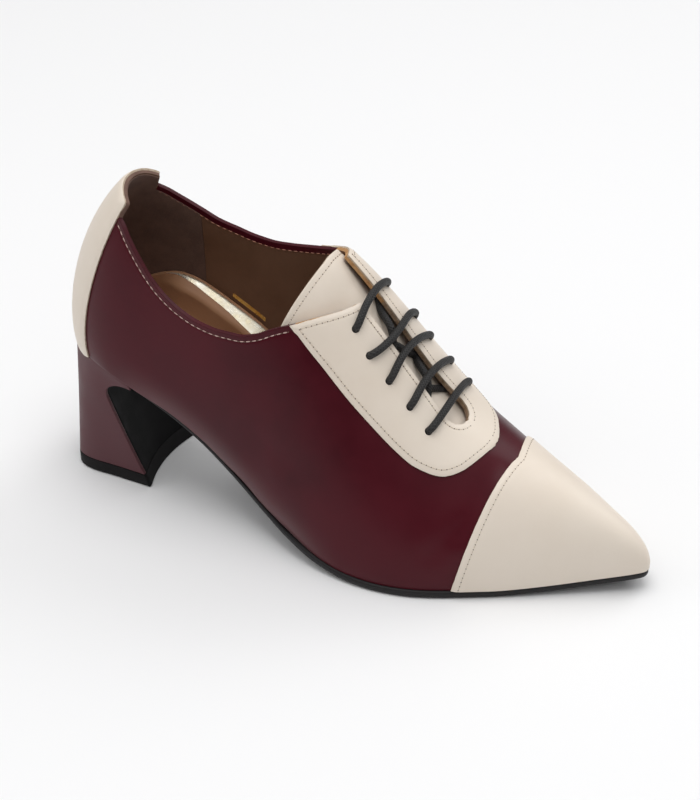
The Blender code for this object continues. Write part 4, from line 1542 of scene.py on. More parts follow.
@dataclass
class Upper:
    """Vamp and quarters as one leather shell with its lining, collar fold and counter lining."""

    columns: int = 170
    rows: int = 44
    edge_rows: int = 16
    fold: float = 0.28
    channel: float = 0.16
    stitch_inset: float = 2.3
    turned_in: float = 2.2
    turned_share: float = 0.972
    seam_low: float = 48.6
    seam_high: float = 52.0
    edge_share: float = 0.88
    fold_width: float = 1.1
    channel_width: float = 0.55
    throat_x: float = 112.0
    throat_half: float = 24.0
    throat_low: float = 40.0
    facing_x: float = 137.0
    tab_low: float = 121.0
    lining_start: float = 0.16
    lining_wall: float = 0.32
    finishes: Sequence[Finishes] = (
        Finishes.BURGUNDY, Finishes.LINING, Finishes.RAW_EDGE, Finishes.CREAM_EDGE, Finishes.COUNTER_SUEDE,
        Finishes.FACING_EDGE,
    )

    def ribs(self) -> Array:
        """Loop parameters of the columns, closer together at the tab's corners and the slot's end.

        Returns:
            Loop parameters right round the foot.
        """
        spread = np.linspace(0, LAST.half, self.columns)
        tab = np.linspace(STRIP_TAB - 1.6, STRIP_TAB + 2.2, 9)
        slot_x = np.concatenate([np.linspace(164, 173, 14), np.linspace(173.2, SLOT[-1].x + 0.05, 10)])
        extra = np.concatenate([tab, LAST.loop_at(slot_x, 1.0)])
        clear = np.min(np.abs(spread[:, None] - extra[None]), axis=1) > 0.5
        side = np.sort(np.concatenate([spread[clear], extra, [0.0, LAST.half]]))
        side = side[np.concatenate([[True], np.diff(side) > 0.04])]
        return LAST.both(side)

    def build(self) -> Thing:
        """Lays the shell on the last, closes the vamp, and gives it its wall and folded collar.

        Returns:
            The piece.
        """
        p = self.ribs()
        tops = LAST.top(p)
        high = np.linspace(self.edge_share, 1, self.edge_rows)
        climb = np.concatenate([np.linspace(0, self.edge_share, self.rows), high[1:]])
        t = climb[:, None] * tops[None]
        p = np.broadcast_to(p, t.shape)
        base = LAST.point(p, t)
        collar = tops < CLOSED
        edge = nearest(base, resample(base[-1][collar], 0.5))
        fold = self.fold * hump(edge, self.fold_width)
        channel = self.channel * hump(edge - self.stitch_inset, self.channel_width)
        roll = LAST.roll(p, base[..., 2] - base[:1, :, 2])
        shape = LAST.skin(p, t, fold - channel + roll + relief_at(base) * smooth_step(1.0, 9.0, edge))
        fields = {
            RIM_FIELD: rim_field(edge),
            TAB_FIELD: LAST.from_back(p) < STRIP_TAB + 1.7,
            CLIMB_FIELD: np.broadcast_to(climb[:, None], t.shape),
            # the roll field also masks the burgundy's painted sheen near the feather edge
            ROLL_FIELD: np.abs(roll) / ROLL_DEPTH,
        }
        thing = Bench.sheet("upper_leather", shape, fields)
        dress(thing, *self.finishes)
        Bench.weld(thing)
        Bench.wall(thing, UPPER_WALL, inward=True, inner=1, rim=2)
        Bench.soften(thing, 0.55, 3)
        self.sort_edges(thing)
        return Bench.settle(thing, 55, "burgundy_leather", "upper")

    @staticmethod
    def face_values(mesh: bpy.types.Mesh, key: str) -> Array:
        """Mean of a point attribute over each face.

        Args:
            mesh: the mesh.
            key: name of the attribute.

        Returns:
            One mean for each face.
        """
        values, corner = np.empty(len(mesh.vertices), np.float32), np.empty(len(mesh.loops), np.int32)
        first, count = (np.empty(len(mesh.polygons), np.int32) for _ in range(2))
        mesh.attributes[key].data.foreach_get("value", values)
        mesh.loops.foreach_get("vertex_index", corner)
        mesh.polygons.foreach_get("loop_start", first)
        mesh.polygons.foreach_get("loop_total", count)
        return np.add.reduceat(values[corner], first) / count

    def sort_edges(self, thing: Thing) -> None:
        """Turns the burgundy over the collar's edge, and leaves the slot and the tab as cut edges.

        Args:
            thing: the shell.
        """
        mesh = thing.data
        centre = np.empty(len(mesh.polygons) * 3)
        mesh.polygons.foreach_get("center", centre)
        slots = np.empty(len(mesh.polygons), int)
        mesh.polygons.foreach_get("material_index", slots)
        x, y, z = (centre.reshape(-1, 3) / MM + SHIFT).T
        near, tab = self.face_values(mesh, RIM_FIELD), self.face_values(mesh, TAB_FIELD) > 0.5
        throat = (x > self.throat_x) & (np.abs(y) < self.throat_half) & (z > self.throat_low)
        burgundy, lining, cut, cream_cut, suede, facing = range(len(self.finishes))
        edge, inner = slots == cut, slots == lining
        turned = self.face_values(mesh, CLIMB_FIELD) > self.turned_share
        slots[edge & ~throat & ~tab] = burgundy
        slots[inner & turned & ~throat & ~tab] = burgundy
        slots[tab & (z > self.tab_low) & ~inner & (near > 0.25)] = cream_cut
        slots[tab & (z > self.tab_low) & edge] = suede
        # slot edges further forward take the darker facing tone; behind them the edge keeps its painted-light
        # tone
        slots[edge & throat & (x > self.facing_x)] = facing
        mesh.polygons.foreach_set("material_index", slots)

    def counter_lining(self) -> Thing:
        """Suede lining round the heel, from seam to seam, up into the tab.

        Returns:
            The piece.
        """
        climb = np.linspace(self.lining_start, 1.0, 60)
        seam = self.seam_low + (self.seam_high - self.seam_low) * climb
        reach = LAST.loop_at(seam, 0.49 * climb)
        fine = np.linspace(-reach.max(), reach.max(), 400)
        wrapped = np.mod(fine, 2 * LAST.half)
        tops = LAST.top(wrapped)
        ribs = LAST.point(wrapped[None], np.linspace(0, 1, 30)[:, None] * tops[None])
        tall = np.linalg.norm(np.diff(ribs, axis=0), axis=-1).sum(axis=0)
        below = np.where(LAST.from_back(wrapped) < STRIP_TAB + 0.8, 0.25, self.turned_in - 0.5)
        tops = tops * (1 - below / tall)
        p = reach[:, None] * np.linspace(-1, 1, 150)[None]
        t = climb[:, None] * np.interp(p, fine, tops)
        shape = LAST.skin(np.mod(p, 2 * LAST.half), t, np.full(t.shape, -UPPER_WALL - 0.02))
        return film("counter_lining", shape[:, ::-1], Finishes.COUNTER_SUEDE, self.lining_wall)

    def collar_run(self, medial: bool, offset: float, below: float, outside: bool) -> tuple[Array, Array]:
        """Line of collar stitches on one side, with normals.

        Args:
            medial: which side.
            offset: distance off the last.
            below: distance below the collar's edge.
            outside: whether the stitches show outside or on the lining.

        Returns:
            Points and normals along the line.
        """
        first, last = STRIP_TAB + 2.6, float(LAST.loop_at(110.5 if medial else 109.0, 0.6))
        p = np.linspace(first, last, 160)
        p = LAST.mirrored(p) if medial else p
        t = LAST.top(p)
        line, normals = LAST.skin(p, t, np.full(t.shape, offset)), LAST.outward(p, t)
        line = inset(line, normals, below if medial else -below)
        return line, normals if outside else -normals

    def sew(self) -> list[Thing]:
        """Collar stitches: light outside, brown on the lining.

        Returns:
            The rows of stitches and of needle holes.
        """
        outer = Seam("collar_stitches", Finishes.BEIGE_THREAD, 2.7, 1.95, radius=0.22, lift=0.0, hole=0.26)
        inner = Seam("lining_stitches", Finishes.BROWN_THREAD, 2.7, 1.9, radius=0.2, lift=0.02)
        made = []
        for seam, offset, below in (
            (outer, -self.channel + 0.06, self.stitch_inset),
            (inner, -UPPER_WALL - 0.22, self.turned_in),
        ):
            runs = [self.collar_run(side, offset, below, seam is outer) for side in (False, True)]
            made += seam.build(runs)
        return made


@dataclass
class ToeCap:
    """Cap over the toe with a raw, slightly uneven edge."""

    feather_x: float = 184.0
    crown_x: float = 196.2
    rows: int = 70
    columns: int = 70
    ragged: float = 0.07

    def edge_parameters(self) -> tuple[Array, Array]:
        """Height and loop parameters of the lateral edge, from feather to crown.

        Returns:
            Height parameters and loop parameters.
        """
        t = np.linspace(0, 1, self.rows)
        x = self.feather_x + (self.crown_x - self.feather_x) * t
        return t, LAST.loop_at(x, t)

    def build(self) -> Thing:
        """Lays the cap over the toe and gives it its thickness.

        Returns:
            The piece.
        """
        t, starts = self.edge_parameters()
        rough = np.random.default_rng(7).normal(0, 1, (2, self.rows))
        kernel = np.array([0.25, 0.5, 0.25])
        rough = np.array([np.convolve(r, kernel, "same") for r in rough]) * self.ragged
        run = np.concatenate([np.linspace(0, 0.06, 8), np.linspace(0.06, 1, self.columns)[1:]])
        fade = (1 - run) ** 12
        even = starts[:, None] + (LAST.half - starts)[:, None] * run[None]
        lateral, medial = (even + r[:, None] * fade[None] for r in rough)
        p = np.concatenate([lateral, LAST.mirrored(medial)[:, -2::-1]], axis=1)
        t = np.broadcast_to(t[:, None], p.shape)
        base = LAST.point(p, t)
        edge = nearest(base, border_lines(base[:, 0], base[:, -1]))
        shape = LAST.skin(p, t, skived(edge, GROOVE_DEPTH, GROOVE_INSET))
        thing = Bench.sheet("toe_cap_leather", shape, {RIM_FIELD: rim_field(edge, 0.8)})
        Bench.weld(thing)
        cream_overlay(thing)
        return Bench.settle(thing, 55, "cream_leather", "toe_cap")

    def sew(self) -> list[Thing]:
        """Stitch row inside the cap's edge, from one feather edge over to the other.

        Returns:
            The rows of stitches and of needle holes.
        """
        t, starts = self.edge_parameters()
        p, t = LAST.both(starts[2:]), there_and_back(t[2:])
        height = np.full(t.shape, GAP + OVERLAY_WALL - STITCH_SINK)
        line, normals = LAST.skin(p, t, height), LAST.outward(p, t)
        line = inset(line, normals, -GROOVE_INSET)
        return cream_seam("toe_cap_stitches").build([(line, normals)])


@dataclass
class Eyestay:
    """Facing round the slot, with punched lace holes."""

    columns: int = 110
    rows: int = 34
    hole_radius: float = 1.6
    stitch_inset: float = 2.2
    groove: float = 0.13
    nose: Sequence[float] = (0.15, 0.3, 0.45, 0.6, 0.72, 0.82, 0.9, 0.95, 0.98, 1.0)
    skipped: int = 6

    def side(self, medial: bool) -> tuple[Array, Array]:
        """Loop and height parameters of one side, from the top corner to the nose.

        Args:
            medial: which side.

        Returns:
            Loop and height parameters, rows by columns.
        """
        low, high = 96.0, 150.0
        scan = LAST.loop_at(np.linspace(low, high, 400), 0.5, medial)
        reached = LAST.eyestay_border(scan) < LAST.top(scan)
        back = float(LAST.from_back(scan[reached])[0])
        front, slot_end = (float(LAST.loop_at(x, 1.0)) for x in (EYESTAY_BORDER[-1].x, SLOT[-1].x))
        body = np.linspace(back, slot_end - 9, self.columns)
        tip = np.linspace(slot_end - 9, slot_end + 0.12, 24)[1:]
        nose = slot_end + (front - slot_end) * np.array(self.nose)
        p = np.concatenate([body, tip, nose])
        p = LAST.mirrored(p) if medial else p
        tops = LAST.top(p)
        foot = np.minimum(LAST.eyestay_border(p), tops)
        t = foot[None] + np.linspace(0, 1, self.rows)[:, None] * (tops - foot)[None]
        return np.broadcast_to(p, t.shape), t

    def build(self) -> Thing:
        """Lays both sides, joins them in front of the slot, and punches the holes.

        Returns:
            The piece.
        """
        sides = []
        for medial in (False, True):
            p, t = self.side(medial)
            if medial:
                p, t = p[:, ::-1], t[:, ::-1]
            base = LAST.point(p, t)
            slot = LAST.top(p[0]) < CLOSED
            edge = nearest(base, border_lines(base[0], base[-1][slot]))
            shape = LAST.skin(p, t, skived(edge, self.groove, self.stitch_inset))
            name = "eyestay_medial" if medial else "eyestay_lateral"
            sides.append(Bench.sheet(name, shape, {RIM_FIELD: rim_field(edge, 0.8)}))
        thing = Bench.join("eyestay_leather", sides)
        Bench.weld(thing)
        cream_overlay(thing)
        self.punch(thing)
        return Bench.settle(thing, 55, "cream_leather", "eyestay")

    def punch(self, thing: Thing) -> None:
        """Cuts the lace holes through a piece, square to the surface.

        Args:
            thing: the piece.
        """
        punches = []
        for hole in HOLES:
            for x, y in ((hole.lateral_x, -hole.lateral), (hole.medial_x, hole.medial)):
                p, t = LAST.spread_at(x, y)
                place, out = LAST.point(p, t), LAST.outward(p, t)
                Bench.clear_selection()
                bpy.ops.mesh.primitive_cylinder_add(
                    vertices=20, radius=self.hole_radius * MM, depth=8 * MM,
                    location=to_frame(place).tolist(),
                    rotation=Vector(out.tolist()).to_track_quat("Z", "Y").to_euler(),
                )
                punches.append(bpy.context.active_object)
        tool = Bench.join("lace_hole_punch", punches)
        Bench.apply(thing, "BOOLEAN", operation="DIFFERENCE", solver="EXACT", object=tool)
        bpy.data.objects.remove(tool, do_unlink=True)

    def sew(self) -> list[Thing]:
        """Needle-pricked rows along the border and along the slot.

        Returns:
            The rows of stitches and of needle holes.
        """
        runs = []
        for medial in (False, True):
            p, t = self.side(medial)
            turn = 1 if medial else -1
            slot = LAST.top(p[0]) < CLOSED
            height = np.full(p.shape[1], GAP + OVERLAY_WALL - STITCH_SINK)
            for row, end, way, first in (
                (0, -1, -turn, self.skipped),
                (-1, int(slot.sum()), turn, self.skipped + 1),
            ):
                line, normals = LAST.skin(p[row], t[row], height)[:end], LAST.outward(p[row], t[row])[:end]
                runs.append((inset(line, normals, way * self.stitch_inset)[first:], normals[first:]))
        return cream_seam("eyestay_stitches").build(runs)


@dataclass
class HeelStrip:
    """Strip up the back of the counter, ending in the tab."""

    rows: int = 70
    columns: int = 60

    def build(self) -> Thing:
        """Lays the strip over the counter and gives it its thickness.

        Returns:
            The piece.
        """
        climb = np.linspace(0, 1, self.rows)
        half = STRIP_SEAT + (STRIP_TAB - STRIP_SEAT) * climb**STRIP_BOW
        p = np.mod(half[:, None] * np.linspace(-1, 1, self.columns)[None], 2 * LAST.half)
        t = climb[:, None] * LAST.top(p[-1])[None]
        base = LAST.point(p, t)
        edge = nearest(base, border_lines(base[-1], base[:, 0], base[:, -1]))
        shape = LAST.skin(p, t, skived(edge))
        thing = Bench.sheet("heel_strip_leather", shape, {RIM_FIELD: rim_field(edge, 0.8)})
        cream_overlay(thing)
        return Bench.settle(thing, 55, "cream_leather", "heel_strip")


@dataclass
class Tongue:
    """Tongue under the facings, sinking under the lace and standing up behind the throat."""

    top_centre: float = 118.3
    top_sweep: float = 14.3
    top_bow: float = 2.3
    front: float = 178.0
    wall: float = 1.5
    depth: float = 0.8
    sink: float = 2.0
    end_sink: float = 0.7
    flare: float = 3.2
    rows: int = 36
    columns: int = 70

    def offset(self, x: Array) -> Array:
        """Offset of the tongue's face from the last."""
        sink = self.sink * smooth_step(119, 134, x) - (self.sink - self.end_sink) * smooth_step(158, 171, x)
        return -UPPER_WALL - self.depth - sink

    def half(self, x: Array) -> Array:
        """Half width of the tongue, wider at its top."""
        return LAST.tongue_half(x) + self.flare * (1 - smooth_step(112, 126, x))

    def top_x(self, climb: Array) -> Array:
        """Where the top edge stands, from the outer side, 0, to the middle, 1."""
        return self.top_centre - self.top_sweep * (1 - climb) ** self.top_bow

    def spread(self, x: Array, climb: Array) -> tuple[Array, Array, Array]:
        """Both halves of the tongue.

        Args:
            x: places along the outer half.
            climb: where they lie across it, from 0 at its side to 1 in the middle.

        Returns:
            Loop parameters, height parameters and places along, over both halves.
        """
        p, t = LAST.spread_at(x, -self.half(x) * (1 - climb))
        return LAST.both(p), there_and_back(t), there_and_back(x)

    def build(self) -> Thing:
        """Lays both halves of the tongue and gives it its thickness.

        Returns:
            The piece.
        """
        climb = np.linspace(0, 1, self.rows)[:, None]
        back = self.top_x(climb)
        p, t, x = self.spread(back + (self.front - back) * np.linspace(0, 1, self.columns)[None], climb)
        base = LAST.point(p, t)
        edge = nearest(base, border_lines(base[0], base[-1], base[:, 0]))
        lift = self.offset(x) - GROOVE_DEPTH * hump(edge - GROOVE_INSET, GROOVE_WIDTH)
        thing = Bench.sheet("tongue_leather", LAST.skin(p, t, lift), {RIM_FIELD: rim_field(edge, 0.8)})
        dress(thing, Finishes.CREAM, Finishes.LINING, Finishes.CREAM_EDGE)
        Bench.wall(thing, self.wall, inward=True, inner=1, rim=2)
        Bench.soften(thing, 0.35, 2)
        return Bench.settle(thing, 55, "cream_leather", "tongue")

    def sew(self) -> list[Thing]:
        """Stitch row below the tongue's top edge.

        Returns:
            The rows of stitches and of needle holes.
        """
        climb = np.linspace(0.06, 1, 60)
        p, t, x = self.spread(self.top_x(climb), climb)
        line, normals = LAST.skin(p, t, self.offset(x) - 0.5 * GROOVE_DEPTH), LAST.outward(p, t)
        line = inset(line, normals, -GROOVE_INSET)
        return cream_seam("tongue_stitches").build([(line, normals)])


@dataclass
class Footbed:
    """Cupped insole with a foil band along its raised inner side."""

    floor: float = 5.0
    wall: float = 1.5
    columns: int = 160
    rim: Sequence[Sides] = (
        Sides(0, 8, 8), Sides(15, 7.5, 12), Sides(25, 7, 18.5), Sides(35, 7, 24.8), Sides(46, 7.5, 27.9),
        Sides(60, 8, 28.5), Sides(72, 8.5, 29), Sides(82, 8.8, 27.5), Sides(92, 8.8, 23),
        Sides(105, 8.5, 14.5), Sides(125, 7.5, 8), Sides(150, 6.2, 6.2), Sides(252, 5.4, 5.4),
    )
    lean: float = 1.2
    lean_depth: float = 4.2
    band: Sequence[Across] = (
        Across(29, 0.2), Across(39, 1.3), Across(48, 2.1), Across(58, 2.5), Across(67, 3.3), Across(76, 3.8),
        Across(88, 3.3), Across(100, 1.8), Across(112, 0.5),
    )
    line: tuple[float, float] = (57.5, 73.0)
    line_low: float = 1.2
    line_high: float = 2.9
    outer: float = -UPPER_WALL - GAP - 0.1
    rim_round: float = 0.4
    rim_drop: float = 0.5
    cup: float = 2.6
    dish: float = 1.2
    foil_lift: float = 0.14

    def leaning(self, x: Array, depth: Array) -> Array:
        """How far the raised inner side leans in, at a depth below its rim."""
        raised = smooth_step(24, 40, x) * (1 - smooth_step(92, 116, x))
        return self.lean * raised * np.clip(depth, 0, self.lean_depth)

    def rings(self) -> tuple[Array, Array]:
        """Rings of points from the outer foot over the rim and down to the floor's edge.

        Returns:
            The rings, and the loop parameters of their points.
        """
        p = LAST.both(np.linspace(0, LAST.half, self.columns))
        base = LAST.point(p, np.zeros(len(p)))
        medial = p > LAST.half
        sides = [steady_curve(self.rim, side)(base[:, 0]) for side in ("medial", "lateral")]
        rim = np.where(medial, *sides)
        edge = rim - self.rim_drop
        profile = [
            (self.outer, np.full(len(p), GAP)),
            (self.outer, 0.5 * rim),
            (self.outer, edge),
            (self.outer - self.rim_round, rim),
            (self.outer - self.wall + self.rim_round, rim),
        ]
        for down in np.linspace(0, 1, 22):
            level = edge + (np.minimum(self.floor, edge) - edge) * down
            lean = np.where(medial, self.leaning(base[:, 0], edge - level), 0.0)
            profile.append((self.outer - self.wall - self.cup * down**3 - lean, level))
        rings = []
        for offset, rise in profile:
            t = LAST.height_at(p, base[:, 2] + rise)
            ring = LAST.skin(p, t, offset + LAST.roll(p, rise))
            ring[:, 2] = base[:, 2] + rise
            rings.append(ring)
        return np.array(rings), p

    def build(self) -> list[Thing]:
        """Builds the cup with its floor, the foil band and the foil line.

        Returns:
            The footbed, the foil band and the foil line.
        """
        rings, p = self.rings()
        wall = Bench.sheet("footbed_wall", rings)
        half = len(p) // 2
        lateral, medial = rings[-1][: half + 1], rings[-1][: half - 1 : -1]
        across = np.linspace(0, 1, 40)[:, None, None]
        floor = lateral[None] * (1 - across) + medial[None] * across
        fade = smooth_step(8, 30, floor[..., 0]) * (1 - smooth_step(225, 248, floor[..., 0]))
        floor[..., 2] -= self.dish * np.sin(math.pi * across[..., 0]) * fade
        top = Bench.sheet("footbed_floor", floor)
        cup = Bench.join("footbed", [wall, top])
        dress(cup, Finishes.FOOTBED)
        Bench.weld(cup, 0.02)
        Bench.cap(cup)
        return [Bench.settle(cup, 50, "insole_leather", "insole"), self.foil(), self.foil_line()]

    def foil(self) -> Thing:
        """Foil band that lies on the inner face of the raised side.

        Returns:
            The piece.
        """
        x = np.linspace(self.band[0].x, self.band[-1].x, 120)
        p = LAST.loop_at(x, 0.0, True)
        base = LAST.point(p, np.zeros(len(p)))
        rim = steady_curve(self.rim, "medial")(base[:, 0])
        depth = steady_curve(self.band, "half")(x)
        rows = []
        for share in np.linspace(0, 1, 8):
            rise = rim - 0.2 - depth * share
            t = LAST.height_at(p, base[:, 2] + rise)
            down = np.clip((0.5 + depth * share) / np.maximum(rim - self.floor, 1), 0, 1)
            lean = self.leaning(base[:, 0], depth * share - 0.3)
            inner = self.outer - self.wall - self.cup * down**3 - lean - self.foil_lift
            row = LAST.skin(p, t, LAST.roll(p, rise) + inner)
            row[:, 2] = base[:, 2] + rise
            rows.append(row)
        return film("footbed_foil", np.array(rows), Finishes.CHAMPAGNE, 0.12)

    def foil_line(self) -> Thing:
        """Thin gold line on the lining, just above the footbed's rim.

        Returns:
            The piece.
        """
        x = np.linspace(*self.line, 60)
        p = LAST.loop_at(x, 0.0, True)
        base = LAST.point(p, np.zeros(len(p)))
        rim = steady_curve(self.rim, "medial")(base[:, 0])
        rows = []
        for rise in np.linspace(self.line_high, self.line_low, 6):
            t = LAST.height_at(p, base[:, 2] + rim + rise)
            rows.append(LAST.skin(p, t, np.full(len(p), -UPPER_WALL - 0.06)))
        return film("lining_foil_line", np.array(rows), Finishes.GOLD, 0.1)


@dataclass
class HeelBlock:
    """Wrapped flared heel with its recessed front cover and its lift."""

    lift: float = 5.5
    rim_width: float = 1.6
    rim_depth: float = 1.5
    hollow: float = 3.4
    cover_wall: float = 0.9
    cover_gap: float = 0.45
    cover_side: float = 0.36
    cover_drop: float = 0.5
    levels: int = 40
    sweep: float = 12.5
    sweep_most: float = 1.25
    sweep_power: float = 1.8
    sweep_spread: float = 0.13
    sweep_low: float = 15.6
    sweep_high: float = 4.3
    tall: float = 51.5
    lift_front: float = 33.0
    lift_centre: float = 24.0
    lift_grow: float = 1.012
    lift_flare: float = 2.6
    lift_lip: float = 0.4

    def rows(self) -> Array:
        """Levels of the block from its foot up to its seat, closer together under the seat."""
        return np.concatenate([np.linspace(1, 0.25, self.levels), 0.25 * np.linspace(1, 0, 24)[1:] ** 1.6])

    def turn_forward(self, level: float) -> float:
        """How far the front edge sweeps forward on its way up to the seat."""
        left = (self.sweep_low - level * self.tall) / (self.sweep_low - self.sweep_high)
        return self.sweep * min(self.sweep_most, max(0.0, left)) ** self.sweep_power

    def front_x(self, level: float, y: Array, half: Array) -> Array:
        """Face of the hollow front behind the rim.

        Args:
            level: 0 at the seat, 1 at the foot.
            y: places across.
            half: half width of the hollow.

        Returns:
            One x for each place.
        """
        front = HEEL_PLAN[-1]
        rim_x = front.seat_x + (front.foot_x - front.seat_x) * level + self.turn_forward(level)
        return rim_x - self.rim_depth - self.hollow * (1 - np.clip(np.abs(y) / half, 0, 1) ** 2)

    def hollow_line(self, level: float, half: float) -> Array:
        """Line across the hollow front at a level, from one rim to the other."""
        across = np.linspace(-1, 1, 25) * half
        return np.column_stack([self.front_x(level, across, half), across])

    def plan(self, level: float) -> Array:
        """Outline of the block at a level, 0 at the seat and 1 at the foot, starting at the back.

        Args:
            level: the level.

        Returns:
            Points, x and y.
        """
        rows = np.array(HEEL_PLAN)
        corners = rows[:, :2] + (rows[:, 2:] - rows[:, :2]) * level
        corners[-1] += np.array([1.0, self.sweep_spread]) * self.turn_forward(level)
        whole = np.concatenate([corners[:0:-1] * (1, -1), corners])
        run = along(whole)
        side = smooth_curve(run, whole)(np.linspace(run[len(corners) - 1], run[-1], 36))
        half = side[-1, 1] - self.rim_width
        hollow = self.hollow_line(level, half)
        front = side[-1, 0]
        return np.concatenate([side * (1, -1), [(front, -half)], hollow, [(front, half)], side[:0:-1]])

    def heights(self, plan: Array, level: float) -> Array:
        """Heights of an outline at a level, from the shaped seat down to the lift."""
        top = LAST.feather(plan[:, 0]) - GAP
        return top + (self.lift + GAP - top) * level

    def loft(self, name: str, rings: Sequence[Array]) -> Thing:
        """Closed block through rings of points, from the lowest up.

        Args:
            name: name of the block.
            rings: rings of points.

        Returns:
            The piece.
        """
        rows = np.array([np.vstack([ring, ring[:1]]) for ring in rings])
        thing = Bench.sheet(name, rows)
        Bench.weld(thing, 0.01)
        Bench.cap(thing)
        return thing

    def build(self) -> list[Thing]:
        """Builds the block, the cover and the lift."""
        return [self.block(), self.cover(), self.top_lift()]

    def block(self) -> Thing:
        """The wrapped block.

        Returns:
            The piece.
        """
        rings = []
        for level in self.rows():
            plan = self.plan(level)
            rings.append(np.column_stack([plan, self.heights(plan, level)]))
        thing = self.loft("heel_block", rings)
        dress(thing, Finishes.HEEL_WRAP)
        Bench.soften(thing, 0.5, 3, 40)
        return Bench.settle(thing, 45, "heel_wrap", "heel")

    def cover(self) -> Thing:
        """Dark cover in the hollow front.

        Returns:
            The piece.
        """
        rings = []
        front = HEEL_PLAN[-1]
        for level in self.rows():
            half = front.seat_half + (front.foot_half - front.seat_half) * level - self.rim_width
            hollow = self.hollow_line(level, half)
            z = self.heights(hollow, level) - (self.cover_drop if level == 0 else 0.0)
            side = hollow[:, 1] * (half - self.cover_side) / half
            near = hollow[:, 0] + self.cover_gap
            back = np.column_stack([near, side, z])
            ahead = np.column_stack([near + self.cover_wall, side, z])
            rings.append(np.concatenate([back[::-1], ahead]))
        thing = self.loft("heel_front_cover", rings)
        dress(thing, Finishes.BREAST)
        Bench.soften(thing, 0.2, 2)
        return Bench.settle(thing, 45, "black_rubber", "heel_breast")

    def top_lift(self) -> Thing:
        """Wearing layer under the block.

        Returns:
            The piece.
        """
        plan = self.plan(1.0)
        half = plan[:, 1].max() - self.rim_width
        inside = (np.abs(plan[:, 1]) < half + 0.1) & (plan[:, 0] < plan[:, 0].max() - 0.2)
        plan[inside & (plan[:, 0] > self.lift_front), 0] += self.rim_depth
        middle = np.array([self.lift_centre, 0.0])
        grown = middle + (plan - middle) * np.array([1.0, self.lift_grow])
        ahead = grown[:, 0] > self.lift_front
        foot = grown.copy()
        foot[ahead, 0] += self.lift_flare
        grown[ahead, 0] += self.lift_lip
        layers = (
            (middle + (foot - middle) * 0.975, 0.0),
            (middle + (foot - middle) * 0.992, 0.25),
            (0.15 * grown + 0.85 * foot, 0.7),
            (grown, self.lift),
        )
        rings = [np.column_stack([outline, np.full(len(outline), z)]) for outline, z in layers]
        thing = self.loft("heel_lift", rings)
        dress(thing, Finishes.LIFT)
        Bench.soften(thing, 0.2, 2)
        return Bench.settle(thing, 45, "black_rubber", "top_lift")


@dataclass
class Outsole:
    """Thin sole from the heel's front to the toe, with a rounded edge."""

    start_x: float = 36.0
    columns: int = 130
    across: int = 24
    tip: float = 14.0
    tip_power: float = 1.7
    edge: Sequence[tuple[float, float]] = (
        (-0.35, 0.0), (-0.06, 0.1), (0.0, 0.3), (0.0, 0.6), (-0.2, 0.82), (-0.55, 0.95), (-1.0, 1.0),
    )

    def build(self) -> Thing:
        """Lofts the sole's section along the foot.

        Returns:
            The piece.
        """
        heel = HeelBlock()
        start = float(LAST.loop_at(self.start_x, 0.0))
        near_tip = LAST.half - self.tip * np.linspace(1, 0, 26)[1:-1] ** self.tip_power
        side = np.concatenate([np.linspace(start, LAST.half - self.tip, self.columns), near_tip])
        edges = []
        for p in (side, LAST.mirrored(side)):
            zero = np.zeros(len(p))
            ahead = LAST.point(p + 0.3, zero) - LAST.point(p - 0.3, zero)
            edges.append((LAST.point(p, zero)[:, :2], unit(np.column_stack([ahead[:, 1], -ahead[:, 0]]))))
        loops = []
        for inset_by, depth in self.edge:
            ends = [edge + out * (LAST.margin(edge[:, 0]) + inset_by)[:, None] for edge, out in edges]
            loops.append([self.lower(e, depth, heel) for e in ends])
        blend = np.linspace(0, 1, self.across)
        top, low = (
            [self.lower(one[:, :2] * (1 - b) + other[:, :2] * b, depth, heel) for b in blend]
            for (one, other), depth in ((loops[0], 0.0), (loops[-1], 1.0))
        )
        section = [loop[0] for loop in loops[1:]] + low[1:-1] + [loop[1] for loop in loops[:0:-1]] + top[::-1]
        rows = np.array(section + section[:1])
        thing = Bench.sheet("outsole_rubber", np.swapaxes(rows, 0, 1))
        dress(thing, Finishes.SOLE)
        Bench.weld(thing, 0.005)
        Bench.cap(thing)
        return Bench.settle(thing, 50, "black_rubber", "outsole")

    def lower(self, plan: Array, depth: float, heel: HeelBlock) -> Array:
        """Points of a plan line brought to their height in the sole, clear of the heel's cover.

        Args:
            plan: points, x and y.
            depth: 0 at the sole's top, 1 at its underside.
            heel: the heel it meets.

        Returns:
            Points in shoe millimetres.
        """
        half = HEEL_PLAN[-1].seat_half - heel.rim_width
        plan = plan.copy()
        plan[0, 0] = heel.front_x(0.0, plan[0, 1], half) + 2 * GAP + heel.cover_wall + 1.0
        x = plan[:, 0]
        return np.column_stack([plan, LAST.feather(x) - GAP - depth * LAST.sole(x)])


class Under(NamedTuple):
    """One run of the lace under the facings: the bars it joins and where it crosses the slot's edges."""

    from_bar: int
    to_bar: int
    medial_x: float
    lateral_x: float
    over: bool


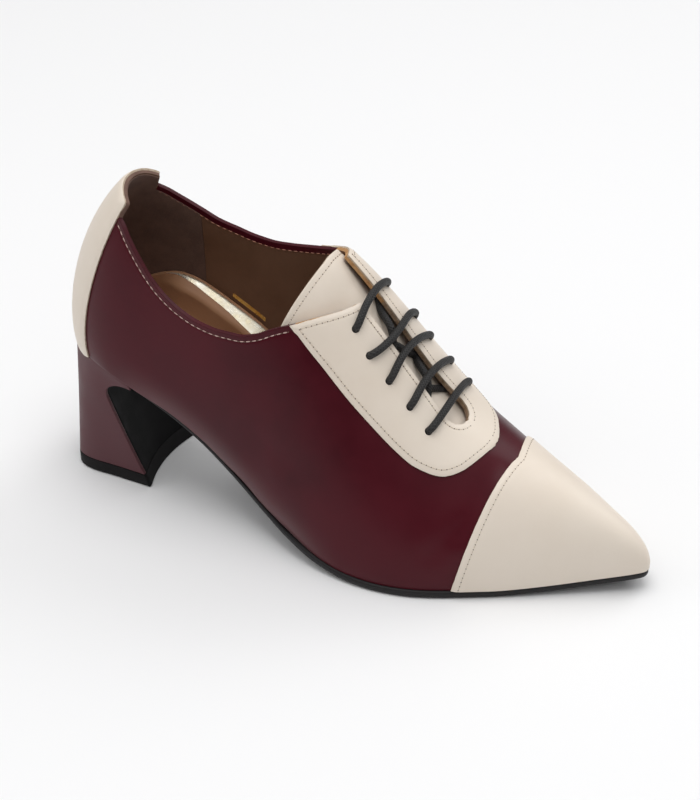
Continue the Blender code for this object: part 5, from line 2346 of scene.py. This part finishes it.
@dataclass
class Lace:
    """One waxed cord: straight bars over the slot, slanting runs beneath, ends tucked under the top holes."""

    radius: float = LACE_RADIUS
    sides: int = 16
    step: float = 0.55
    low: float = -UPPER_WALL - LACE_RADIUS - 0.12
    over_slot: float = -0.75
    under_slot: float = -3.15
    shares: Sequence[float] = (0.0, 0.0, 0.008, 0.035, 0.09, 0.17, 0.27)
    rises: Sequence[float] = (-1.9, -0.6, 1.2, 2.35)
    order: Sequence[int] = (0, 2, 4, 3, 1)
    runs: Sequence[Under] = (
        Under(0, 2, 138.2, 147.6, True),
        Under(2, 4, 153.6, 162.6, True),
        Under(4, 3, 163.4, 158.4, False),
        Under(3, 1, 152.2, 143.6, False),
    )

    def spots(self, x: Sequence[float], y: Sequence[float], offset: Sequence[float]) -> Array:
        """Points over the last at places along and across, at offsets."""
        p, t = LAST.spread_at(np.array(x, float), np.array(y, float))
        return LAST.skin(p, t, np.array(offset, float))

    def bar(self, hole: LaceHole) -> Array:
        """Route of one bar, up through the outer hole, over the slot and down through the inner one.

        Args:
            hole: the pair of holes.

        Returns:
            Points of the route.
        """
        rest = GAP + OVERLAY_WALL + self.radius + 0.05
        share = np.array(self.shares)
        height = np.array([*self.rises, rest, rest, rest])
        u = np.concatenate([share, 1 - share[::-1]])
        x = hole.lateral_x + (hole.medial_x - hole.lateral_x) * u + hole.bow * 6.75 * u * (1 - u) ** 2
        y = -hole.lateral + (hole.medial + hole.lateral) * u
        return self.spots(x, y, np.concatenate([height, height[::-1]]))

    def under(self, run: Under) -> Array:
        """Route beneath the facings from the inner hole of one bar to the outer hole of the next.

        Args:
            run: the run.

        Returns:
            Points of the route.
        """
        a, b = HOLES[run.from_bar], HOLES[run.to_bar]
        low = self.low
        middle = self.over_slot if run.over else self.under_slot
        half_a, half_b = float(LAST.slot(run.medial_x)), float(LAST.slot(run.lateral_x))
        ahead, behind = run.medial_x - a.medial_x, run.lateral_x - b.lateral_x
        x = [a.medial_x + 0.12 * ahead, a.medial_x + 0.5 * ahead, run.medial_x]
        x += [0.5 * (run.medial_x + run.lateral_x)]
        x += [run.lateral_x, b.lateral_x + 0.5 * behind, b.lateral_x + 0.12 * behind]
        y = [0.94 * a.medial, 0.5 * (a.medial + half_a), half_a]
        y += [0.05]
        y += [-half_b, -0.5 * (b.lateral + half_b), -0.94 * b.lateral]
        edge = low - (0.0 if run.over else 0.1)
        return self.spots(x, y, [low, low - 0.05, edge, middle, edge, low - 0.05, low])

    def route(self) -> Array:
        """Centre line of the whole cord, in shoe millimetres.

        Returns:
            Points at an even step.
        """
        first, last = HOLES[self.order[0]], HOLES[self.order[-1]]
        back, across = np.array([2.5, 0.8]), np.array([0.8, 0.95])
        tucked = np.array([self.low - 0.1, self.low])
        line = [self.spots(first.lateral_x - back, -across * first.lateral, tucked)]
        for place, number in enumerate(self.order):
            line.append(self.bar(HOLES[number]))
            if place < len(self.runs):
                line.append(self.under(self.runs[place]))
        line.append(self.spots(last.medial_x - back, across * last.medial, tucked)[::-1])
        knots = np.concatenate(line)
        curve = smooth_curve(along(knots), knots)
        return resample(curve(np.linspace(0, along(knots)[-1], 4000)), self.step)

    def build(self) -> Thing:
        """Lofts the cord round its route.

        Returns:
            The piece.
        """
        line = self.route()
        ahead = tangents(line)
        over = np.empty_like(line)
        over[0] = unit(np.cross(ahead[0], (0.35, 0.9, 0.2)))
        for i in range(1, len(line)):
            over[i] = unit(over[i - 1] - ahead[i] * (over[i - 1] @ ahead[i]))
        across = np.cross(ahead, over)
        turn = np.linspace(0, 2 * math.pi, self.sides + 1)
        ring = np.cos(turn)[:, None, None] * over[None] + np.sin(turn)[:, None, None] * across[None]
        points = line[None] + self.radius * ring
        run = along(line)
        uv = np.stack(np.broadcast_arrays(run[None, :], (turn / (2 * math.pi))[:, None]), -1)
        thing = Bench.sheet("lace_cord", points, uv=uv)
        dress(thing, Finishes.CORD)
        Bench.weld(thing, 0.005)
        Bench.cap(thing)
        LOG.info("lace length along its route: %.0f mm", run[-1])
        return Bench.settle(thing, 70, "waxed_cord", "lace")


class SoftBox(NamedTuple):
    """One soft light: its place and its width in metres, and its power in watts."""

    name: str
    place: tuple[float, float, float]
    size: float
    power: float


@dataclass
class Studio:
    """Pale floor, soft lights and the camera."""

    azimuth: float = 21.98
    elevation: float = 33.67
    distance: float = 760.0
    aim: tuple[float, float, float] = (147.4, 0.0, 79.55)
    focal_pixels: float = 1432.6
    image_height: float = 800.0
    zoom: float = 1.38
    look: tuple[float, float, float] = (128.0, -6.0, 58.0)
    boxes: Sequence[SoftBox] = (
        SoftBox("overhead_box", (0.05, -0.05, 1.4), 0.9, 8.4),
        SoftBox("left_box", (-1.3, -0.6, 0.8), 0.9, 2.5),
        SoftBox("back_box", (0.6, 1.3, 1.3), 1.0, 6.5),
    )

    def build(self) -> None:
        """Sets the floor, the lights and the camera."""
        self.floor()
        self.lights()
        self.camera()

    def floor(self) -> None:
        """A wide pale floor at the height the shoe stands on."""
        Bench.clear_selection()
        bpy.ops.mesh.primitive_plane_add(size=8.0, location=(0, 0, -0.0002))
        ground = bpy.context.active_object
        ground.name = "floor"
        material = bpy.data.materials.new("floor_pale")
        material.use_nodes = True
        shader = material.node_tree.nodes["Principled BSDF"]
        sheet = NodeSheet(material.node_tree)
        sheet.fill(shader, Base_Color=(0.90, 0.90, 0.905), Roughness=0.6, Specular_IOR_Level=0.2)
        ground.data.materials.append(material)

    def area(self, box: SoftBox) -> None:
        """Sets up one soft box that faces the shoe.

        Args:
            box: the box.
        """
        light = bpy.data.lights.new(box.name, "AREA")
        light.energy = box.power
        light.shape = "RECTANGLE"
        light.size = light.size_y = box.size
        thing = bpy.data.objects.new(box.name, light)
        thing.location = box.place
        thing.rotation_euler = (Vector((0, 0, 0.04)) - Vector(box.place)).to_track_quat("-Z", "Y").to_euler()
        bpy.context.scene.collection.objects.link(thing)

    def lights(self) -> None:
        """A soft box overhead, weaker ones at the left and behind, and a surround that brightens upwards."""
        world = bpy.data.worlds.new("studio_air")
        world.use_nodes = True
        sheet = NodeSheet(world.node_tree)
        place = sheet.add("ShaderNodeTexCoord").outputs["Object"]
        up = sheet.add("ShaderNodeSeparateXYZ", Vector=place).outputs["Z"]
        strength = sheet.remap(up, 0.12, 0.62, 0.05, 0.68)
        sheet.fill(world.node_tree.nodes["Background"], Color=(1.0, 1.0, 1.0), Strength=strength)
        bpy.context.scene.world = world
        for box in self.boxes:
            self.area(box)

    def camera(self) -> None:
        """Camera at the viewing angle, framing the one shoe."""
        a, e = math.radians(self.azimuth), math.radians(self.elevation)
        back = np.array([math.sin(a) * math.cos(e), -math.cos(a) * math.cos(e), math.sin(e)])
        place = Vector(to_frame(np.array(self.aim) + self.distance * back).tolist())
        target = Vector(to_frame(np.array(self.look)).tolist())
        data = bpy.data.cameras.new("shoe_camera")
        data.sensor_width = 36.0
        data.lens = self.focal_pixels * data.sensor_width / self.image_height * self.zoom
        eye = bpy.data.objects.new("shoe_camera", data)
        eye.location = place
        eye.rotation_euler = (target - place).to_track_quat("-Z", "Y").to_euler()
        bpy.context.scene.collection.objects.link(eye)
        bpy.context.scene.camera = eye
        bpy.context.scene.view_settings.view_transform = "Standard"


def main() -> None:
    """Builds the shoe piece by piece, then the studio."""
    logging.basicConfig(level=logging.INFO, format="%(name)s: %(message)s")
    upper, cap, eyestay, tongue = Upper(), ToeCap(), Eyestay(), Tongue()
    shell = upper.build()
    eyestay.punch(shell)
    upper.counter_lining()
    cap.build()
    eyestay.build()
    HeelStrip().build()
    tongue.build()
    Footbed().build()
    HeelBlock().build()
    Outsole().build()
    Lace().build()
    for piece in (upper, cap, eyestay, tongue):
        piece.sew()
    Studio().build()


if __name__ == "__main__":
    main()
